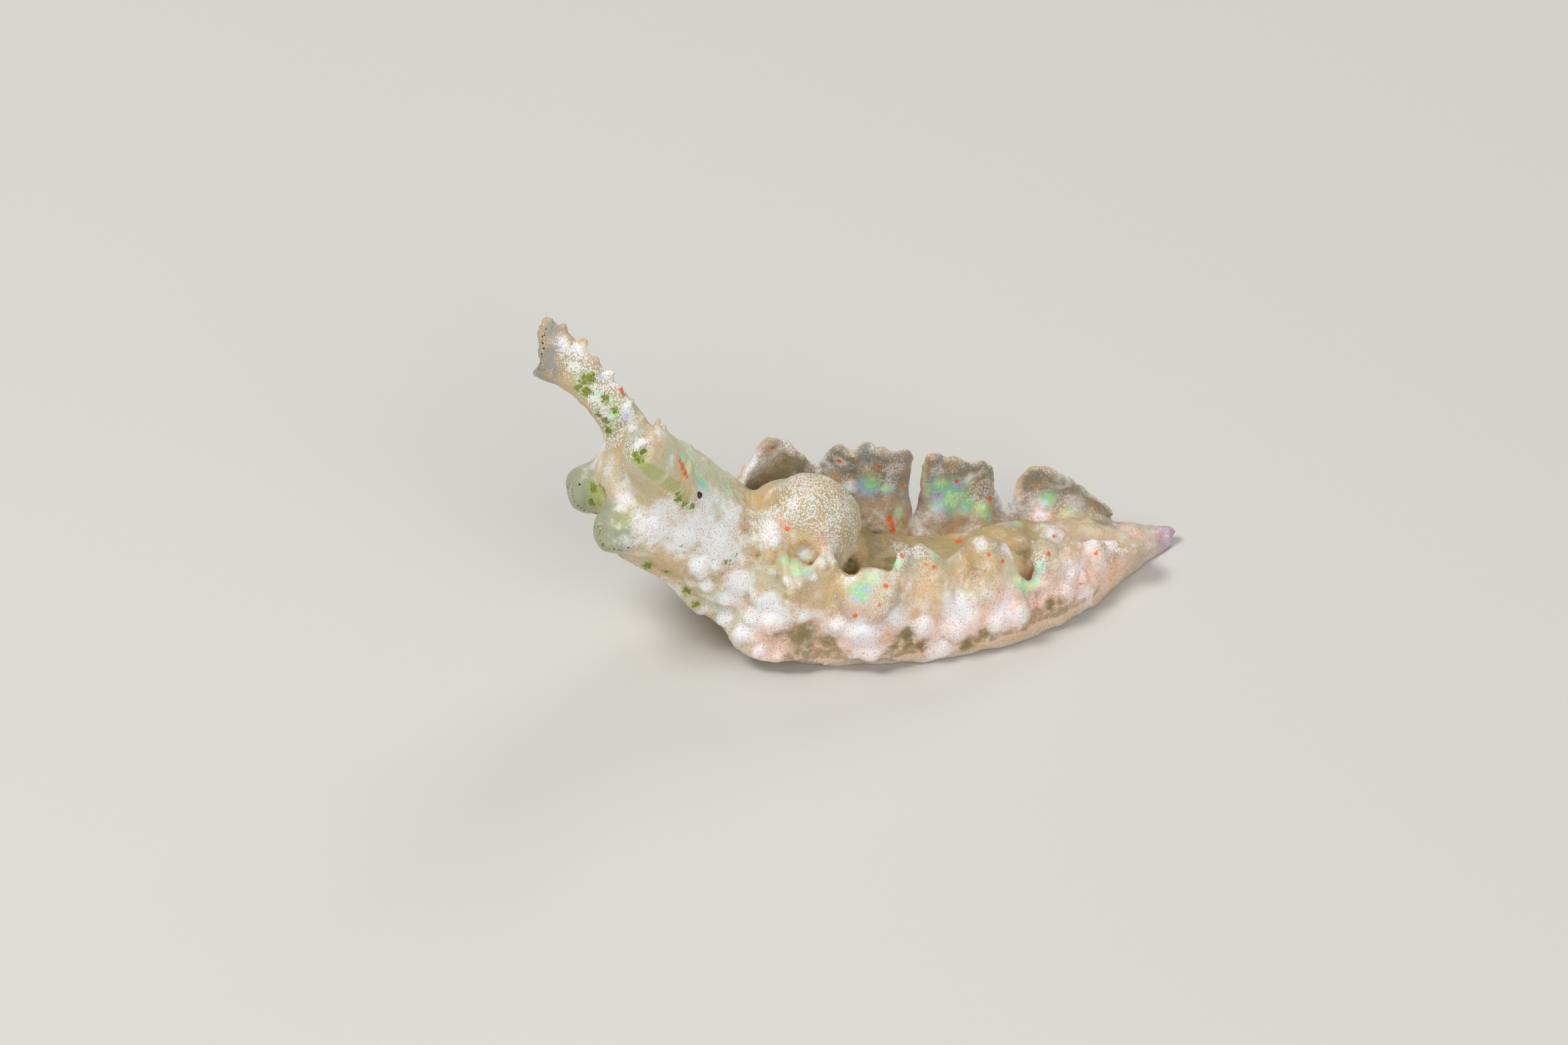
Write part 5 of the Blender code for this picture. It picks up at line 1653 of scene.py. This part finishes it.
@dataclass(frozen=True)
class EyeFinish:
    """Gloss black with a faint brown bloom."""

    dark: tuple = srgb(12, 12, 14)
    bloom: tuple = srgb(38, 30, 24)

    def build(self) -> bpy.types.Material:
        """Makes the material."""
        material = bpy.data.materials.new("slug_eye")
        material.use_nodes = True
        graph = Graph(material.node_tree)
        shader = material.node_tree.nodes["Principled BSDF"]
        clouds = graph.noise(graph.add("ShaderNodeTexCoord").outputs["Object"], 22000.0)
        graph.link(graph.mix(graph.rise(clouds, 0.45, 0.8), self.dark, self.bloom), shader, "Base Color")
        graph.link(graph.between(clouds, 0.10, 0.22), shader, "Roughness")
        shader.inputs["Coat Weight"].default_value = 0.6
        return material


@dataclass
class Eye:
    """One small black eye, set in the side of the head."""

    side: Side
    radius: float = 0.069

    def build(self) -> bpy.types.Object:
        """Shapes the eye as a round bead where the solids hold it."""
        low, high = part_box("eye_" + self.side.name.lower())
        name = "eye_bead_" + self.side.name.lower()
        obj = new_ball(name, segments=40, rings=24, radius=self.radius * MM, middle=(low + high) / 2)
        obj.data.name = obj.name
        bpy.ops.object.transform_apply(location=True, rotation=True, scale=True)
        bpy.ops.object.shade_smooth()
        return obj


@dataclass
class Studio:
    """A plain pale floor and soft lights."""

    floor_half: float = 1.2
    floor_drop: float = 0.000004
    floor_colour: tuple = srgb(214, 212, 206)
    floor_rough: float = 0.85
    sky: float = 0.30
    # Name, place, size and power of each light
    lights: tuple = (
        ("key", (-0.075, -0.005, 0.130), 0.05, 0.125),
        ("fill", (0.020, -0.130, 0.080), 0.10, 0.085),
        ("rim", (0.090, 0.090, 0.080), 0.06, 0.040),
    )

    def build(self) -> None:
        """Adds the floor, three soft lights and a pale sky."""
        bpy.ops.object.select_all(action="DESELECT")
        bpy.ops.mesh.primitive_plane_add(size=self.floor_half * 2, location=(0, 0, -self.floor_drop))
        floor = bpy.context.object
        floor.name = "floor"
        material = bpy.data.materials.new("floor")
        material.use_nodes = True
        shader = material.node_tree.nodes["Principled BSDF"]
        shader.inputs["Base Color"].default_value = self.floor_colour
        shader.inputs["Roughness"].default_value = self.floor_rough
        floor.data.materials.append(material)
        bpy.context.scene.view_settings.view_transform = "Standard"
        for light in self.lights:
            self.light(*light)
        world = bpy.data.worlds.new("studio")
        bpy.context.scene.world = world
        world.use_nodes = True
        background = world.node_tree.nodes["Background"]
        background.inputs["Color"].default_value = (1.0, 1.0, 1.0, 1.0)
        background.inputs["Strength"].default_value = self.sky

    def light(self, name: str, place: tuple[float, float, float], size: float, power: float) -> None:
        """Adds one square area light that faces the model."""
        data = bpy.data.lights.new(name, "AREA")
        data.size = size
        data.energy = power
        obj = link_new(name, data)
        obj.location = place
        obj.rotation_euler = Vector(place).to_track_quat("Z", "Y").to_euler()


FLESH_NODES = [
    "head", "neck", "trunk_front", "trunk_rear", "tail", "foot_front", "foot_rear",
    "parapodium_left_front", "parapodium_left_mid", "parapodium_left_rear",
    "parapodium_right_front", "parapodium_right_mid", "parapodium_right_rear",
    "pericardial_hump", "oral_lobe_left", "oral_lobe_right", "rhinophore_left", "rhinophore_right",
]


def left_flap(plan: BodyPlan) -> Flap:
    """The near flap, with three rolled spouts."""
    tall = [
        (2.7, 2.20), (2.9, 2.30), (3.4, 2.48), (3.8, 2.52), (4.2, 2.50), (4.6, 2.34), (5.0, 2.18),
        (6.0, 2.12), (6.6, 2.00), (7.2, 2.16), (7.5, 1.96), (8.3, 1.62), (8.8, 1.38), (9.5, 1.10),
        (10.0, 0.86), (10.6, 0.46),
    ]
    out = [
        (2.7, 0.98), (2.9, 1.00), (4.2, 1.10), (5.0, 0.95), (6.5, 0.80), (8.0, 0.72), (9.5, 0.62),
        (10.1, 0.86), (10.6, 1.12),
    ]
    notches = [
        Notch(4.10, 0.40, 0.0, 0.0, power=3.0, saddle=(1.14, 2.14), edge=(1.74, 1.84)),
        Notch(5.42, 0.36, 0.0, 0.0, widen=0.08, power=3.4, saddle=(1.05, 1.88), edge=(1.68, 1.22)),
        Notch(6.95, 0.27, 0.46, -0.12),
        Notch(8.06, 0.21, 0.56, 0.24, 0.22, 0.18, 0.50, widen=0.08, power=3.4),
    ]
    return Flap(plan, Side.LEFT, tall, out, notches, end=10.6)


def right_flap(plan: BodyPlan) -> Flap:
    """The far flap, with its dip, its deep teardrop notch and its rear notch."""
    tall = [
        (2.7, 1.85), (2.95, 2.02), (3.12, 2.50), (3.32, 3.10), (3.6, 3.08), (4.2, 2.75), (5.4, 2.80),
        (6.4, 2.72), (7.0, 2.56), (7.6, 2.34), (7.95, 2.28), (8.2, 2.14), (9.1, 1.68), (9.45, 1.86),
        (9.7, 1.58), (10.0, 1.30), (10.45, 0.90),
    ]
    out = [
        (2.7, 1.02), (2.9, 1.05), (4.2, 1.30), (5.2, 1.35), (6.5, 1.25), (8.0, 1.10), (9.5, 0.75),
        (10.45, 0.42),
    ]
    notches = [
        Notch(4.60, 0.26, 0.40, 0.15),
        Notch(6.66, 0.22, 1.72, 0.22, 0.10, 0.05, 0.6, pinch=0.16, widen=0.13, lean=0.15, power=3.2),
        Notch(8.80, 0.29, 1.10, 0.32, 0.10, 0.06, 0.6, pinch=0.04, widen=0.05, power=3.0),
    ]
    return Flap(plan, Side.RIGHT, tall, out, notches, folds=(0.88, 0.09))


def feelers(plan: BodyPlan) -> list[Rhinophore]:
    """The two feelers: the near one points at the viewer, softly rolled, the far one stands out."""
    near_breadth = [(0.0, 0.70), (0.25, 0.60), (0.5, 0.54), (0.8, 0.50), (1.0, 0.50)]
    near_depth = [(0.0, 0.66), (0.3, 0.56), (0.7, 0.47), (1.0, 0.44)]
    near_curl = [(0.0, 0.0), (0.3, 0.02), (0.7, 0.05), (1.0, 0.06)]
    near = Rhinophore(
        plan, Side.LEFT, (0.90, 1.10, 2.10), breadth=near_breadth, depth=near_depth, curl=near_curl,
        fork_deep=0.06, fork_slant=0.05, tip_round=0.36, length=2.02, root=(0.80, 0.56, 1.72),
    )
    far = Rhinophore(plan, Side.RIGHT, (1.25, 1.09, 1.43), length=2.50, bow=0.28, fork_slant=0.36)
    return [near, far]


def lumps(plan: BodyPlan) -> list[Lump]:
    """The hump over the heart, and the two lobes beside the mouth."""
    made = [
        Lump(plan, "hump", 4.50, 0.14, 2.08, (0.92, 0.88, 1.14), skirt=1.0),
        Lump(plan, "hump_front", 3.88, 0.02, 1.80, (0.88, 0.98, 1.14), skirt=0.5),
        Lump(plan, "hump_side", 3.85, 0.60, 1.55, (1.05, 0.50, 0.65), skirt=0.3),
        Lump(plan, "shoulder_left", 3.25, 0.70, 1.75, (0.78, 0.54, 0.90), skirt=0.3),
    ]
    for side in Side:
        name = "oral_lobe_" + side.name.lower()
        made.append(Lump(plan, name, 0.27, side.value * 0.66, 0.72, (0.57, 0.42, 0.47), blunt=0.55))
        made.append(Lump(plan, name + "_cheek", 0.62, side.value * 0.62, 0.95, (0.75, 0.50, 0.72)))
    return made


def build_skin(plan: BodyPlan, camera: Camera) -> bpy.types.Object:
    """Puts the body's regions together and makes the skin of them."""
    flaps = [left_flap(plan), right_flap(plan)]
    skin = Skin(plan, camera, CoreBody(plan), Foot(plan), flaps, feelers(plan), lumps(plan))
    obj = skin.build()
    obj.data.materials.clear()
    obj.data.materials.append(SkinFinish().build(Effects()))
    write_points(obj.data, read_points(obj.data) * MM)
    select_only(obj)
    bpy.ops.object.shade_smooth()
    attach(obj, "root")
    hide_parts(*FLESH_NODES)
    return obj


def build_eyes() -> None:
    """Adds the two eyes in place of the plain ones."""
    finish = EyeFinish().build()
    for side in Side:
        obj = Eye(side).build()
        obj.data.materials.append(finish)
        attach(obj, "root")
        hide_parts("eye_" + side.name.lower())
        log.info("eye: %s", obj.name)


def main() -> None:
    """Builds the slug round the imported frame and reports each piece."""
    logging.basicConfig(level=logging.INFO, format="%(message)s")
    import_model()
    plan = BodyPlan()
    plan.match_frame(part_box("eye_left"))
    log.info("frame shift in mm: %s", plan.shift.round(4))
    camera = Camera()
    camera.build()
    skin = build_skin(plan, camera)
    log.info("skin: %d faces", len(skin.data.polygons))
    build_eyes()
    Studio().build()


if __name__ == "__main__":
    main()
